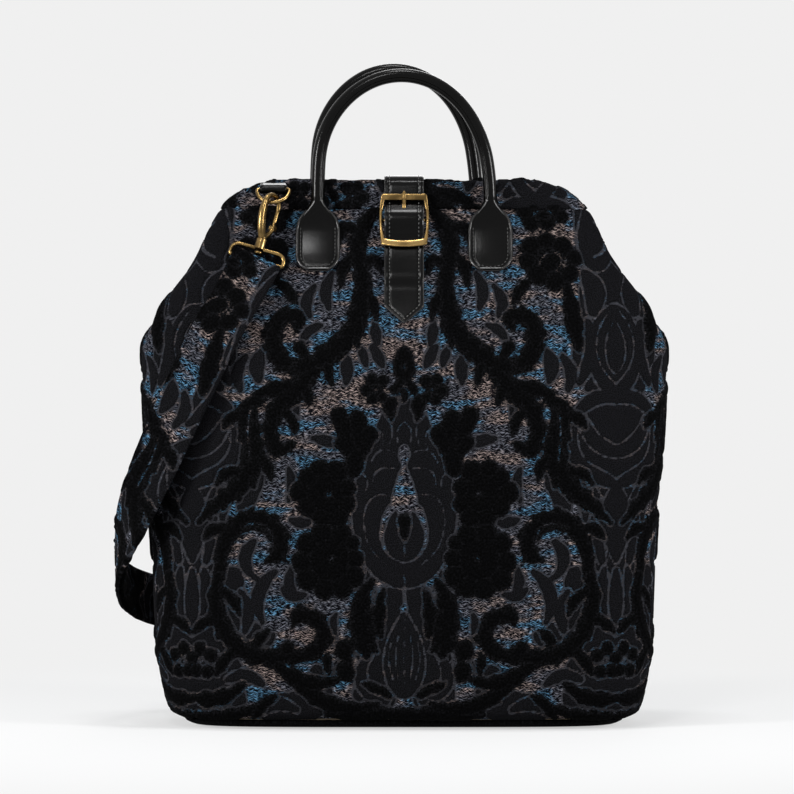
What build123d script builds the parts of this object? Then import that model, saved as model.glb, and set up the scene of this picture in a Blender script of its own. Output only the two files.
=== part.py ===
"""Carpet backpack with a framed mouth, rolled handles, a buckled strap and a clip-on shoulder strap.

Millimetres, +Z up. The front of the bag faces -Y and the origin lies on the floor under the
middle of the base. The rear ring and clasp are the front ones turned half round, with the clasp
hanging at its own lean.
"""

import os
from math import cos, pi, sin

from build123d import *

# Bag body
BODY_WIDTH = 410.0
BODY_HEIGHT = 421.0
BODY_DEPTH = 160.0
WALL = 3.0
BASE_THICKNESS = 5.9
CASING_HEIGHT = 23.0
MOUTH_GAP = 0.4
LINING_THICKNESS = 0.8
LINING_GAP = 5.0
LINING_TOP_DROP = 71.0
BOARD_THICKNESS = 3.0

# Fits: pieces that lie on one another, turning fits, and how far a cut runs past what it cuts
SEAT_GAP = 0.3
TURN_GAP = 0.1
OVERRUN = 30.0
ROW_SPACING = 2.0
PROBE = 0.5

# Frame strips inside the mouth
FRAME_SPAN = 286.0
FRAME_DROP = 14.0
FRAME_STRIP = 2.0
FRAME_STRIP_WIDTH = 6.0
FRAME_FROM_MIDDLE = 1.0
FRAME_CORNER_RADIUS = 34.0
FRAME_HINGE_DROP = 61.0
HINGE_EYE_RADIUS = 6.0
RIVET_RADIUS = 2.0
RIVET_HEAD_RADIUS = 3.6
RIVET_HEAD = 1.2

# Rolled handles
HANDLE_SPAN = 133.4
HANDLE_RADIUS = 5.25
HANDLE_ROLL_DROP = 17.0
HANDLE_LEG = 30.0
ROLL_OVERLAP = 2.5
HANDLE_TAB_WIDTH = 33.4
HANDLE_TAB_THICKNESS = 3.4
HANDLE_TAB_LENGTH = 55.0
HANDLE_TAB_CORNER = 13.0
HANDLE_TAB_SINK = 0.8
REAR_HANDLE_SPAN = 125.4
REAR_HANDLE_LEG = 38.0
REAR_HANDLE_SHIFT = -6.0
REAR_HANDLE_RISE = 4.0

# Closure strap, its buckle and the loop that holds the buckle
CLOSURE_WIDTH = 30.0
CLOSURE_THICKNESS = 3.0
CLOSURE_TIP_DROP = 113.0
CLOSURE_POINT_LENGTH = 13.0
CLOSURE_REAR_DROP = 86.0
CLOSURE_BEND = 3.0
CLOSURE_SHOULDER_DROP = 11.0
CLOSURE_CROWN_DROP = 2.6
BUCKLE_DROP = 32.6
BUCKLE_HEIGHT = 41.6
BUCKLE_WIDTH = 38.5
BUCKLE_END_WIDTH = 35.0
BUCKLE_TOP_BAR = 5.0
BUCKLE_BOTTOM_BAR = 7.0
BUCKLE_BOTTOM_BOW = 1.6
BUCKLE_LIMB = 2.3
BUCKLE_THICKNESS = 3.2
BUCKLE_CORNER = 3.0
BUCKLE_ARCH_RADIUS = 45.0
BUCKLE_BAR_RADIUS = 1.8
BAR_INSET = 1.0
CREST_HALF = 4.2
STRAP_SLACK = 0.8
BEND_MARGIN = 1.5
CHAPE_THICKNESS = 2.0
CHAPE_WIDTH = 28.0
CHAPE_LENGTH = 44.0
PRONG_WIDTH = 3.0
PRONG_THICKNESS = 2.4
PRONG_EYE_WALL = 1.4
PRONG_OVERHANG = 2.2
PRONG_SLOT_GAP = 0.4

# D-rings and their leather tabs
RING_WIRE_RADIUS = 1.5
RING_WIDTH = 27.7
RING_CORNER = 1.9
RING_TAB_THICKNESS = 2.0
RING_TAB_WIDTH = 20.7
TOP_RING_X = -101.4
TOP_RING_DROP = 8.0
TOP_RING_TILT = 42.0
TOP_TAIL_DEPTH = 9.5
TOP_TAIL_BEND = 2.0
LOW_RING_X = 120.0
LOW_RING_HEIGHT = 40.0
LOW_TAB_LENGTH = 24.0
LOW_TAB_CORNER = 4.0

# Swivel clasps
CLASP_LEAN = 15.5
REAR_CLASP_LEAN = -6.0
CLASP_PITCH = 14.0
CLASP_TWIST = 52.0
COLLAR_RADIUS = 4.2
COLLAR_LENGTH = 8.0
STEM_RADIUS = 2.0
STEM_HEAD_RADIUS = 3.2
STEM_HEAD = 1.8
STEM_FLANGE = 1.6
HOOK_WIRE_RADIUS = 2.0
HOOK_HALF_WIDTH = 8.6
HOOK_FOOT = 10.5
HOOK_PLAY = 1.8
HOOK_LIMB = 13.0
HOOK_LUG_ANGLE = 28.0
GATE_RADIUS = 1.4
GATE_EYE_RADIUS = 2.3
GATE_EYE_WIDTH = 2.0
GATE_BEVEL = 40.0
GATE_PIN_RADIUS = 0.9
LUG_RADIUS = 2.8
CLASP_BAR_DROP = 13.2
CLASP_WIDTH = 45.0
CLASP_WIRE_RADIUS = 1.6
CLASP_SHOULDER = 6.0
CLASP_BAR_CORNER = 1.9
CLASP_LOOP_HEIGHT = 9.5

# Shoulder strap
STRAP_WIDTH = 38.0
STRAP_THICKNESS = 4.0
SLEEVE_WALL = 2.2

# Counts
BODY_POINTS = 32
NECK_POINTS = 16

# Bag sections: height, half width, half depth as shares of the body's, then how square the corners are
BODY_SECTION_SHARES = (
    (0.000, 0.795, 0.735, 4.5),
    (0.007, 0.820, 0.775, 4.5),
    (0.014, 0.835, 0.800, 4.5),
    (0.030, 0.880, 0.885, 4.2),
    (0.060, 0.905, 0.940, 4.0),
    (0.130, 0.930, 0.985, 3.8),
    (0.290, 0.947, 1.000, 3.6),
    (0.450, 0.968, 0.955, 3.5),
    (0.570, 0.983, 0.860, 3.4),
    (0.640, 0.992, 0.775, 3.3),
    (0.685, 0.993, 0.700, 3.3),
    (0.735, 0.955, 0.600, 3.3),
    (0.780, 0.900, 0.500, 3.4),
    (0.825, 0.828, 0.395, 3.8),
    (0.865, 0.775, 0.300, 4.4),
    (0.900, 0.742, 0.240, 5.0),
    (0.927, 0.714, 0.206, 5.3),
    (0.955, 0.676, 0.183, 5.5),
    (0.972, 0.638, 0.166, 5.2),
    (0.985, 0.598, 0.142, 4.8),
    (0.994, 0.552, 0.110, 4.0),
    (1.000, 0.500, 0.060, 3.0),
)

# Handle tab up to the roll: height, then widening, flattening from roll to tab, and squareness
NECK_SECTION_SHARES = (
    (0.00, 1.00, 1.00, 6.0),
    (0.21, 1.00, 1.00, 6.0),
    (0.42, 1.00, 1.00, 5.0),
    (0.55, 0.80, 0.86, 3.8),
    (0.70, 0.42, 0.54, 2.8),
    (0.86, 0.10, 0.14, 2.2),
    (1.00, 0.03, -0.10, 2.0),
)

# Shoulder strap from below the front clasp to below the rear one, as shares of the body's half
# width, half depth and height
STRAP_ROUTE_SHARES = (
    (-0.615, -0.535, 0.790),
    (-0.690, -0.685, 0.725),
    (-0.765, -0.775, 0.650),
    (-0.850, -0.815, 0.560),
    (-0.930, -0.800, 0.470),
    (-1.010, -0.690, 0.385),
    (-1.070, -0.400, 0.315),
    (-1.080, 0.050, 0.265),
    (-1.035, 0.530, 0.230),
    (-0.945, 0.930, 0.208),
    (-0.800, 1.190, 0.195),
    (-0.580, 1.310, 0.200),
    (-0.330, 1.300, 0.240),
    (-0.090, 1.240, 0.335),
    (0.150, 1.130, 0.475),
    (0.320, 0.930, 0.625),
    (0.420, 0.690, 0.745),
)


def superellipse(half_width, half_depth, squareness, points):
    """Face with an outline between an ellipse and a rectangle, centred on the origin."""
    outline = []
    for step in range(points):
        turn = 2 * pi * step / points
        across = round(cos(turn), 9)
        along = round(sin(turn), 9)
        x = half_width * abs(across) ** (2 / squareness)
        y = half_depth * abs(along) ** (2 / squareness)
        outline.append((x if across > 0 else -x, y if along > 0 else -y))
    return make_face(Spline(*outline, periodic=True))


def body_at(height):
    """Half width, half depth and squareness of the bag at a height."""
    share = min(max(height / BODY_HEIGHT, 0), 1)
    for lower, upper in zip(BODY_SECTION_SHARES, BODY_SECTION_SHARES[1:]):
        if share <= upper[0]:
            break
    part = (share - lower[0]) / (upper[0] - lower[0])
    width, depth, squareness = (a + part * (b - a) for a, b in zip(lower[1:], upper[1:]))
    return width * BODY_WIDTH / 2, depth * BODY_DEPTH / 2, squareness


def reach(x, height):
    """Distance of the bag's front or rear face from the middle plane."""
    half_width, half_depth, squareness = body_at(height)
    inward = 1 - min(abs(x) / half_width, 1) ** squareness
    return half_depth * inward ** (1 / squareness)


def outward(point):
    """Direction square to the bag's surface near a point."""

    def depth_in(x, y, z):
        half_width, half_depth, squareness = body_at(z)
        return abs(x / half_width) ** squareness + abs(y / half_depth) ** squareness

    x, y, z = point
    return Vector(
        depth_in(x + PROBE, y, z) - depth_in(x - PROBE, y, z),
        depth_in(x, y + PROBE, z) - depth_in(x, y - PROBE, z),
        depth_in(x, y, z + PROBE) - depth_in(x, y, z - PROBE),
    ).normalized()


def bag_block(bottom, top, grow):
    """Solid of the bag's shape between two heights, grown or shrunk sideways."""
    heights = [share[0] * BODY_HEIGHT for share in BODY_SECTION_SHARES]
    heights = [h for h in heights if bottom + ROW_SPACING < h < top - ROW_SPACING]
    sections = []
    for height in (bottom, *heights, top):
        half_width, half_depth, squareness = body_at(height)
        outline = superellipse(half_width + grow, half_depth + grow, squareness, BODY_POINTS)
        sections.append(Pos(0, 0, height) * outline)
    return loft(sections)


def rod(start, end, radius):
    """Round bar between two points."""
    run = Vector(*end) - Vector(*start)
    return extrude(Plane(origin=start, z_dir=run) * Circle(radius), amount=run.length)


def ribbon(path, thickness, width):
    """Strip of leather or metal: a path in the YZ plane, thickened and drawn out along X."""
    return extrude(Plane.YZ * trace(path, thickness), amount=width / 2, both=True)


def bore_x(y, z, radius, length):
    """Cylinder along X, centred at a place in the YZ plane."""
    return Pos(0, y, z) * Rot(0, 90, 0) * Cylinder(radius, length)


def half_turn(shape):
    """The same piece on the other face of the bag."""
    return Rot(0, 0, 180) * shape


nodes = {}

# Bag body: one lofted block, hollowed below the casing line and parted at the side seams
casing_line = BODY_HEIGHT - CASING_HEIGHT
body_block = bag_block(BASE_THICKNESS, BODY_HEIGHT, 0)
body_shell = body_block - bag_block(BASE_THICKNESS, casing_line, -WALL)
seat_cut = bag_block(0, BODY_HEIGHT + SEAT_GAP, SEAT_GAP)
front_shell = split(body_shell, bisect_by=Plane.XZ, keep=Keep.TOP)
rear_shell = split(body_shell, bisect_by=Plane.XZ, keep=Keep.BOTTOM)
casing_plane = Plane.XY.offset(casing_line)
nodes["front_panel"] = split(front_shell, bisect_by=casing_plane, keep=Keep.BOTTOM)
nodes["rear_panel"] = split(rear_shell, bisect_by=casing_plane, keep=Keep.BOTTOM)
front_casing = split(front_shell, bisect_by=casing_plane, keep=Keep.TOP)
rear_casing = split(rear_shell, bisect_by=casing_plane, keep=Keep.TOP)
nodes["base_panel"] = bag_block(0, BASE_THICKNESS, 0)

# Base board and the lining that hangs inside the walls above it
board_width, board_depth, board_squareness = body_at(BASE_THICKNESS)
board_inset = WALL + SEAT_GAP
board_outline = superellipse(
    board_width - board_inset, board_depth - board_inset, board_squareness, BODY_POINTS
)
nodes["base_board"] = Pos(0, 0, BASE_THICKNESS) * extrude(board_outline, amount=BOARD_THICKNESS)
lining_bottom = BASE_THICKNESS + BOARD_THICKNESS + SEAT_GAP
lining_top = BODY_HEIGHT - LINING_TOP_DROP
lining_inset = WALL + LINING_GAP
lining_block = bag_block(lining_bottom, lining_top, -lining_inset)
lining_hollow = bag_block(
    lining_bottom + LINING_THICKNESS, lining_top, -lining_inset - LINING_THICKNESS
)
nodes["lining"] = lining_block - lining_hollow


# Frame: two U-shaped strips in the casings, hinged to each other at both ends of the mouth
frame_top = BODY_HEIGHT - FRAME_DROP
hinge_height = BODY_HEIGHT - FRAME_HINGE_DROP
rear_inset = FRAME_STRIP + TURN_GAP


def frame_bow(inset, play):
    """U-shaped flat strip on the front side of the mouth."""
    half_span = FRAME_SPAN / 2 - inset
    path = FilletPolyline(
        (-half_span, hinge_height),
        (-half_span, frame_top),
        (half_span, frame_top),
        (half_span, hinge_height),
        radius=FRAME_CORNER_RADIUS - inset,
    )
    strip = Plane.XZ.offset(FRAME_FROM_MIDDLE - play) * trace(path, FRAME_STRIP + 2 * play)
    return extrude(strip, amount=FRAME_STRIP_WIDTH + 2 * play)


def hinge_eyes(inset):
    """Discs at the ends of a strip, bored for the hinge rivets."""
    pair = bore_x(0, hinge_height, HINGE_EYE_RADIUS, FRAME_STRIP)
    return [Pos(side * (FRAME_SPAN / 2 - inset), 0, 0) * pair for side in (-1, 1)]


rivet_bore = bore_x(0, hinge_height, RIVET_RADIUS + TURN_GAP, FRAME_SPAN + OVERRUN)
nodes["front_frame"] = frame_bow(0, 0) + hinge_eyes(0) - rivet_bore
rear_bow = mirror(frame_bow(rear_inset, 0), about=Plane.XZ)
nodes["rear_frame"] = rear_bow + hinge_eyes(rear_inset) - rivet_bore
front_casing -= frame_bow(0, SEAT_GAP)
rear_casing -= mirror(frame_bow(rear_inset, SEAT_GAP), about=Plane.XZ)

rivet_outer = FRAME_SPAN / 2 + FRAME_STRIP / 2 + TURN_GAP
rivet_inner = rivet_outer - 2 * FRAME_STRIP - 3 * TURN_GAP
for name, side in (("left_hinge_rivet", -1), ("right_hinge_rivet", 1)):
    ends = (rivet_inner - RIVET_HEAD, rivet_inner, rivet_outer, rivet_outer + RIVET_HEAD)
    spots = [(side * x, 0, hinge_height) for x in ends]
    heads = rod(spots[0], spots[1], RIVET_HEAD_RADIUS) + rod(spots[2], spots[3], RIVET_HEAD_RADIUS)
    nodes[name] = rod(spots[0], spots[3], RIVET_RADIUS) + heads


# Handles: a rolled arch whose ends flatten into rounded tabs on the panel
def handle(span, leg, shift, rise):
    """Handle on the front of the bag, moved sideways and up along the panel."""
    tab_bottom = BODY_HEIGHT - HANDLE_ROLL_DROP - HANDLE_TAB_LENGTH + rise
    roll_start = tab_bottom + HANDLE_TAB_LENGTH
    half_span = span / 2
    arch_y = -(reach(half_span, roll_start) + 2 * SEAT_GAP + HANDLE_RADIUS)
    arch_base = roll_start + leg
    roll_end = roll_start - ROLL_OVERLAP
    left_foot = (shift - half_span, arch_y, roll_end)
    path = [
        Line(left_foot, (shift - half_span, arch_y, arch_base)),
        ThreePointArc(
            (shift - half_span, arch_y, arch_base),
            (shift, arch_y, arch_base + half_span),
            (shift + half_span, arch_y, arch_base),
        ),
        Line((shift + half_span, arch_y, arch_base), (shift + half_span, arch_y, roll_end)),
    ]
    body = sweep(Pos(*left_foot) * Circle(HANDLE_RADIUS), path=Wire(path))
    for side in (-1, 1):
        x = shift + side * half_span
        sections = []
        for height_share, widening, flattening, squareness in NECK_SECTION_SHARES:
            height = tab_bottom + height_share * HANDLE_TAB_LENGTH
            half_width = HANDLE_RADIUS + widening * (HANDLE_TAB_WIDTH / 2 - HANDLE_RADIUS)
            half_depth = HANDLE_RADIUS + flattening * (HANDLE_TAB_THICKNESS / 2 - HANDLE_RADIUS)
            sink = HANDLE_TAB_SINK * flattening
            half_depth += sink / 2
            y = -(reach(abs(x), height) + SEAT_GAP + half_depth - sink)
            section = superellipse(half_width, half_depth, squareness, NECK_POINTS)
            sections.append(Pos(x, y, height) * section)
        outline = Pos(x, tab_bottom + HANDLE_TAB_LENGTH / 2) * Rectangle(
            HANDLE_TAB_WIDTH + OVERRUN, HANDLE_TAB_LENGTH
        )
        tab_outline = Pos(x, tab_bottom + HANDLE_TAB_LENGTH / 2) * Rectangle(
            HANDLE_TAB_WIDTH, HANDLE_TAB_LENGTH
        )
        low_corners = tab_outline.vertices().sort_by(Axis.Y)[:2]
        tab_outline = fillet(low_corners, HANDLE_TAB_CORNER)
        corner_cut = extrude(Plane.XZ * (outline - tab_outline), amount=BODY_DEPTH)
        body += loft(sections) - corner_cut
    return body - seat_cut


rear_handle = handle(REAR_HANDLE_SPAN, REAR_HANDLE_LEG, REAR_HANDLE_SHIFT, REAR_HANDLE_RISE)
nodes["front_handle"] = handle(HANDLE_SPAN, HANDLE_LEG, 0, 0)
nodes["rear_handle"] = mirror(rear_handle, about=Plane.XZ)


# Closure: strap over the mouth, centre-bar buckle, prong, and the loop that holds the bar
def front_spot(height, lift):
    """Place in the YZ plane that stands off the middle of the front panel."""
    return (-(reach(0, height) + lift), height)


buckle_height = BODY_HEIGHT - BUCKLE_DROP
buckle_top = buckle_height + BUCKLE_HEIGHT / 2
buckle_bottom = buckle_height - BUCKLE_HEIGHT / 2
loop_radius = BUCKLE_BAR_RADIUS + TURN_GAP
loop_outer = loop_radius + CHAPE_THICKNESS
bar_lift = SEAT_GAP + loop_outer
flat_lift = SEAT_GAP + CLOSURE_THICKNESS / 2
chape_lift = flat_lift + CHAPE_THICKNESS + SEAT_GAP
crest_lift = bar_lift + loop_outer + SEAT_GAP + CLOSURE_THICKNESS / 2
under_top = buckle_top - BUCKLE_TOP_BAR - BEND_MARGIN
under_bottom = buckle_bottom + BUCKLE_BOTTOM_BAR + BEND_MARGIN
chape_bottom = buckle_height - CHAPE_LENGTH
crown = BODY_HEIGHT + SEAT_GAP + CLOSURE_THICKNESS / 2
shoulder_y, shoulder_z = front_spot(BODY_HEIGHT - CLOSURE_SHOULDER_DROP, flat_lift)
crown_y = shoulder_y + CLOSURE_CROWN_DROP
crown_spots = [(crown_y, BODY_HEIGHT - CLOSURE_CROWN_DROP), (crown_y / 2, crown)]
closure_rear = BODY_HEIGHT - CLOSURE_REAR_DROP
rear_y, rear_z = front_spot(closure_rear, flat_lift)
neck_y, neck_z = front_spot(casing_line - CASING_HEIGHT, flat_lift)
closure_path = FilletPolyline(
    (-rear_y, rear_z),
    (-neck_y, neck_z),
    (-shoulder_y, shoulder_z),
    (-crown_spots[0][0], crown_spots[0][1]),
    (-crown_spots[1][0], crown_spots[1][1]),
    crown_spots[1],
    crown_spots[0],
    (shoulder_y, shoulder_z),
    front_spot(under_top, flat_lift),
    front_spot(buckle_height + CREST_HALF, crest_lift),
    front_spot(buckle_height - CREST_HALF, crest_lift),
    front_spot(under_bottom, chape_lift),
    front_spot(chape_bottom, chape_lift),
    front_spot(chape_bottom - CREST_HALF - CREST_HALF, flat_lift),
    front_spot(BODY_HEIGHT - CLOSURE_TIP_DROP, flat_lift),
    radius=CLOSURE_BEND,
)
tip = BODY_HEIGHT - CLOSURE_TIP_DROP
point_start = tip + CLOSURE_POINT_LENGTH
half_closure = CLOSURE_WIDTH / 2
tip_cuts = []
for side in (-1, 1):
    corner = make_face(
        Polyline(
            (0, tip),
            (side * half_closure, point_start),
            (side * (half_closure + OVERRUN), point_start),
            (side * (half_closure + OVERRUN), tip - OVERRUN),
            (0, tip - OVERRUN),
            close=True,
        )
    )
    tip_cuts.append(extrude(Plane.XZ * corner, amount=BODY_DEPTH))
slot_bottom = buckle_height + loop_radius
slot_width = PRONG_WIDTH + 2 * PRONG_SLOT_GAP
slot_face = Pos(0, (slot_bottom + under_top) / 2) * SlotOverall(under_top - slot_bottom, slot_width, 90)
prong_slot = extrude(Plane.XZ * slot_face, amount=BODY_DEPTH)
closure = ribbon(closure_path, CLOSURE_THICKNESS, CLOSURE_WIDTH)
nodes["closure_strap"] = closure - tip_cuts - prong_slot - seat_cut

over_strap = CLOSURE_THICKNESS / 2 + STRAP_SLACK + BUCKLE_THICKNESS / 2
top_bar_lift = flat_lift + over_strap
bottom_bar_lift = chape_lift + over_strap
bar_y, bar_z = front_spot(buckle_height, bar_lift)
top_spot = Vector(*front_spot(buckle_top - BUCKLE_TOP_BAR / 2, top_bar_lift))
low_spot = Vector(*front_spot(buckle_bottom + BUCKLE_BOTTOM_BAR / 2, bottom_bar_lift))
middle_spot = Vector(bar_y - BAR_INSET, bar_z)
top_end = middle_spot + (top_spot - middle_spot) * 2
low_end = middle_spot + (low_spot - middle_spot) * 2
arch = FilletPolyline(top_end, middle_spot, low_end, radius=BUCKLE_ARCH_RADIUS)
buckle_band = ribbon(arch, BUCKLE_THICKNESS, BUCKLE_WIDTH)


def buckle_outline(top, bottom, middle_half, end_half, bow, corner):
    """Barrel-sided face in the XZ plane with a bowed lower edge and rounded corners."""
    middle = (top + bottom) / 2
    edges = [
        Line((-end_half, top), (end_half, top)),
        ThreePointArc((end_half, top), (middle_half, middle), (end_half, bottom)),
        ThreePointArc((end_half, bottom), (0, bottom - bow), (-end_half, bottom)),
        ThreePointArc((-end_half, bottom), (-middle_half, middle), (-end_half, top)),
    ]
    face = make_face(edges)
    return fillet(face.vertices(), corner)


buckle_face = buckle_outline(
    buckle_top,
    buckle_bottom + BUCKLE_BOTTOM_BOW,
    BUCKLE_WIDTH / 2,
    BUCKLE_END_WIDTH / 2,
    BUCKLE_BOTTOM_BOW,
    BUCKLE_CORNER,
)
buckle_window = buckle_outline(
    buckle_top - BUCKLE_TOP_BAR,
    buckle_bottom + BUCKLE_BOTTOM_BAR,
    BUCKLE_WIDTH / 2 - BUCKLE_LIMB,
    BUCKLE_END_WIDTH / 2 - BUCKLE_LIMB,
    BUCKLE_BOTTOM_BOW,
    BUCKLE_CORNER - BUCKLE_LIMB / 2,
)
buckle_plate = extrude(Plane.XZ * (buckle_face - buckle_window), amount=BODY_DEPTH)
centre_bar = bore_x(bar_y, bar_z, BUCKLE_BAR_RADIUS, BUCKLE_WIDTH - BUCKLE_LIMB)
nodes["buckle_frame"] = (buckle_plate & buckle_band) + centre_bar

eye_radius = BUCKLE_BAR_RADIUS + TURN_GAP + PRONG_EYE_WALL
arm_start = (bar_y - eye_radius + PRONG_THICKNESS / 2, bar_z)
prong_lift = top_bar_lift + BUCKLE_THICKNESS / 2 + SEAT_GAP + PRONG_THICKNESS / 2
prong_rest = Vector(*front_spot(buckle_top - BUCKLE_TOP_BAR / 2, prong_lift))
prong_run = prong_rest - Vector(*arm_start)
arm_end = prong_rest + prong_run.normalized() * (BUCKLE_TOP_BAR / 2 + PRONG_OVERHANG)
prong = ribbon(Line(arm_start, arm_end), PRONG_THICKNESS, PRONG_WIDTH)
prong += bore_x(bar_y, bar_z, eye_radius, PRONG_WIDTH)
nodes["buckle_prong"] = prong - bore_x(bar_y, bar_z, BUCKLE_BAR_RADIUS + TURN_GAP, CHAPE_WIDTH)

chape_outline = Pos(0, buckle_height - CHAPE_LENGTH / 2) * Rectangle(CHAPE_WIDTH, CHAPE_LENGTH)
chape_skin = bag_block(chape_bottom - OVERRUN, BODY_HEIGHT, SEAT_GAP + CHAPE_THICKNESS)
chape_leaf = extrude(Plane.XZ * chape_outline, amount=BODY_DEPTH) & chape_skin
chape = chape_leaf + bore_x(bar_y, bar_z, loop_outer, CHAPE_WIDTH) - seat_cut
prong_room = Pos(0, bar_y, bar_z) * Box(slot_width, 3 * loop_outer, 3 * loop_outer)
nodes["buckle_chape"] = chape - bore_x(bar_y, bar_z, loop_radius, BUCKLE_WIDTH) - prong_room


# D-rings: wire bent to a D, hanging from its straight bar on the X axis
ring_half = RING_WIDTH / 2 - RING_WIRE_RADIUS
ring_flat = ring_half - RING_CORNER


def d_ring():
    """D-ring in the XZ plane with its bar along X at the origin."""
    loop = [
        Line((-ring_flat, 0), (ring_flat, 0)),
        CenterArc((ring_flat, -RING_CORNER), RING_CORNER, 90, -90),
        CenterArc((0, -RING_CORNER), ring_half, 0, -180),
        CenterArc((-ring_flat, -RING_CORNER), RING_CORNER, 180, -90),
    ]
    path = Plane.XZ * Wire(loop)
    return sweep(Plane.YZ * Circle(RING_WIRE_RADIUS), path=path)


tab_bore = RING_WIRE_RADIUS + TURN_GAP
tab_outer = tab_bore + RING_TAB_THICKNESS
ring_z = BODY_HEIGHT - TOP_RING_DROP
ring_y = -(reach(abs(TOP_RING_X) - RING_TAB_WIDTH / 2, ring_z) + SEAT_GAP + tab_outer)
top_ring_place = Pos(TOP_RING_X, ring_y, ring_z)
front_ring = top_ring_place * Rot(-TOP_RING_TILT, 0, 0) * d_ring()
nodes["front_d_ring"] = front_ring
nodes["rear_d_ring"] = half_turn(front_ring)


def top_ring_tab(play):
    """Leather loop round the ring's bar whose tail turns over the casing into the mouth."""
    tail_y = -(MOUTH_GAP + RING_TAB_THICKNESS) / 2
    tail_top = BODY_HEIGHT + SEAT_GAP + RING_TAB_THICKNESS / 2
    tail = FilletPolyline(
        (tail_y, BODY_HEIGHT - TOP_TAIL_DEPTH - play),
        (tail_y, tail_top),
        (ring_y / 2, tail_top),
        (ring_y, ring_z + tab_bore + RING_TAB_THICKNESS / 2),
        radius=TOP_TAIL_BEND,
    )
    strip = ribbon(tail, RING_TAB_THICKNESS + 2 * play, RING_TAB_WIDTH + 2 * play)
    strip += bore_x(ring_y, ring_z, tab_outer + play, RING_TAB_WIDTH + 2 * play)
    return Pos(TOP_RING_X, 0, 0) * strip


tab_hole = Pos(TOP_RING_X, 0, 0) * bore_x(ring_y, ring_z, tab_bore, RING_TAB_WIDTH + OVERRUN)
front_tab = top_ring_tab(0) - tab_hole
nodes["front_ring_tab"] = front_tab
nodes["rear_ring_tab"] = half_turn(front_tab)

# The mouth parts the casings, and each casing is relieved where a ring tab turns into it
mouth_cut = Pos(0, 0, BODY_HEIGHT) * Box(BODY_WIDTH, MOUTH_GAP, 2 * CASING_HEIGHT)
tab_relief = top_ring_tab(SEAT_GAP)
nodes["front_casing"] = front_casing - mouth_cut - tab_relief
nodes["rear_casing"] = rear_casing - mouth_cut - half_turn(tab_relief)


# Low rings on the back, for carrying the bag as a backpack
def low_ring(side):
    """Leather tab and D-ring low on the rear panel, turned to lie along its curve."""
    x = side * LOW_RING_X
    seat = Vector(x, reach(x, LOW_RING_HEIGHT), LOW_RING_HEIGHT)
    normal = outward(seat)
    level = Vector(normal.X, normal.Y, 0)
    place = Plane(origin=seat + level * SEAT_GAP, x_dir=level.cross(Vector(0, 0, 1)), z_dir=(0, 0, 1))
    bar = Pos(0, tab_outer, 0)
    leaf = Pos(0, RING_TAB_THICKNESS / 2, LOW_TAB_LENGTH / 2) * Box(
        RING_TAB_WIDTH, RING_TAB_THICKNESS, LOW_TAB_LENGTH
    )
    top_edges = leaf.edges().filter_by(Axis.Y).group_by(Axis.Z)[-1]
    leaf = fillet(top_edges, LOW_TAB_CORNER)
    tab = leaf + bar * bore_x(0, 0, tab_outer, RING_TAB_WIDTH)
    tab -= bar * bore_x(0, 0, tab_bore, RING_TAB_WIDTH + OVERRUN)
    return place.location * tab - seat_cut, place.location * bar * d_ring()


nodes["left_low_ring_tab"], nodes["left_low_d_ring"] = low_ring(-1)
nodes["right_low_ring_tab"], nodes["right_low_d_ring"] = low_ring(1)


# Swivel clasp, built on its own axis: collar at the origin, hook above it, strap bar below it
hook_low = HOOK_FOOT + HOOK_HALF_WIDTH
hook_high = hook_low + HOOK_LIMB
lug_x = HOOK_HALF_WIDTH
lug_z = hook_low - HOOK_HALF_WIDTH * sin(pi / 180 * HOOK_LUG_ANGLE) / 2
nose_z = hook_high - HOOK_WIRE_RADIUS
collar_top = COLLAR_LENGTH / 2
flange_top = collar_top + TURN_GAP + STEM_FLANGE


def clasp_hook():
    """Round-wire hook on a stem, with a forked lug for the gate."""
    bow = [
        CenterArc((0, hook_low), HOOK_HALF_WIDTH, -HOOK_LUG_ANGLE, HOOK_LUG_ANGLE - 180),
        Line((-HOOK_HALF_WIDTH, hook_low), (-HOOK_HALF_WIDTH, hook_high)),
        CenterArc((0, hook_high), HOOK_HALF_WIDTH, 180, -180),
        Line((HOOK_HALF_WIDTH, hook_high), (HOOK_HALF_WIDTH, nose_z - HOOK_WIRE_RADIUS)),
    ]
    path = Plane.XZ * Wire(bow)
    start = Plane(origin=path @ 0, z_dir=path % 0)
    hook = sweep(start * Circle(HOOK_WIRE_RADIUS), path=path)
    hook += rod((0, 0, collar_top + TURN_GAP), (0, 0, flange_top), STEM_HEAD_RADIUS)
    head_top = -collar_top - TURN_GAP
    hook += rod((0, 0, head_top - STEM_HEAD), (0, 0, HOOK_FOOT), STEM_RADIUS)
    hook += rod((0, 0, head_top - STEM_HEAD), (0, 0, head_top), STEM_HEAD_RADIUS)
    hook += Pos(lug_x, 0, lug_z) * Rot(90, 0, 0) * Cylinder(LUG_RADIUS, 2 * HOOK_WIRE_RADIUS)
    fork = Cylinder(LUG_RADIUS + HOOK_WIRE_RADIUS, GATE_EYE_WIDTH + 2 * TURN_GAP)
    hook -= Pos(lug_x, 0, lug_z) * Rot(90, 0, 0) * fork
    hook -= Pos(lug_x, 0, lug_z) * Rot(90, 0, 0) * Cylinder(GATE_PIN_RADIUS, OVERRUN)
    return hook - nose_cut(0)


def nose_cut(drop):
    """Block under the slanted end of the hook's nose, where the gate closes against it."""
    block = Pos(0, 0, -OVERRUN / 2) * Box(3 * HOOK_WIRE_RADIUS, OVERRUN, OVERRUN)
    foot = Pos(0, 0, lug_z + 2 * LUG_RADIUS)
    slant = Pos(HOOK_HALF_WIDTH, 0, nose_z - drop) * Rot(0, GATE_BEVEL, 0) * block
    keep = foot * Pos(HOOK_HALF_WIDTH, 0, OVERRUN / 2) * Box(4 * HOOK_WIRE_RADIUS, OVERRUN, OVERRUN)
    return slant & keep


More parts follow.
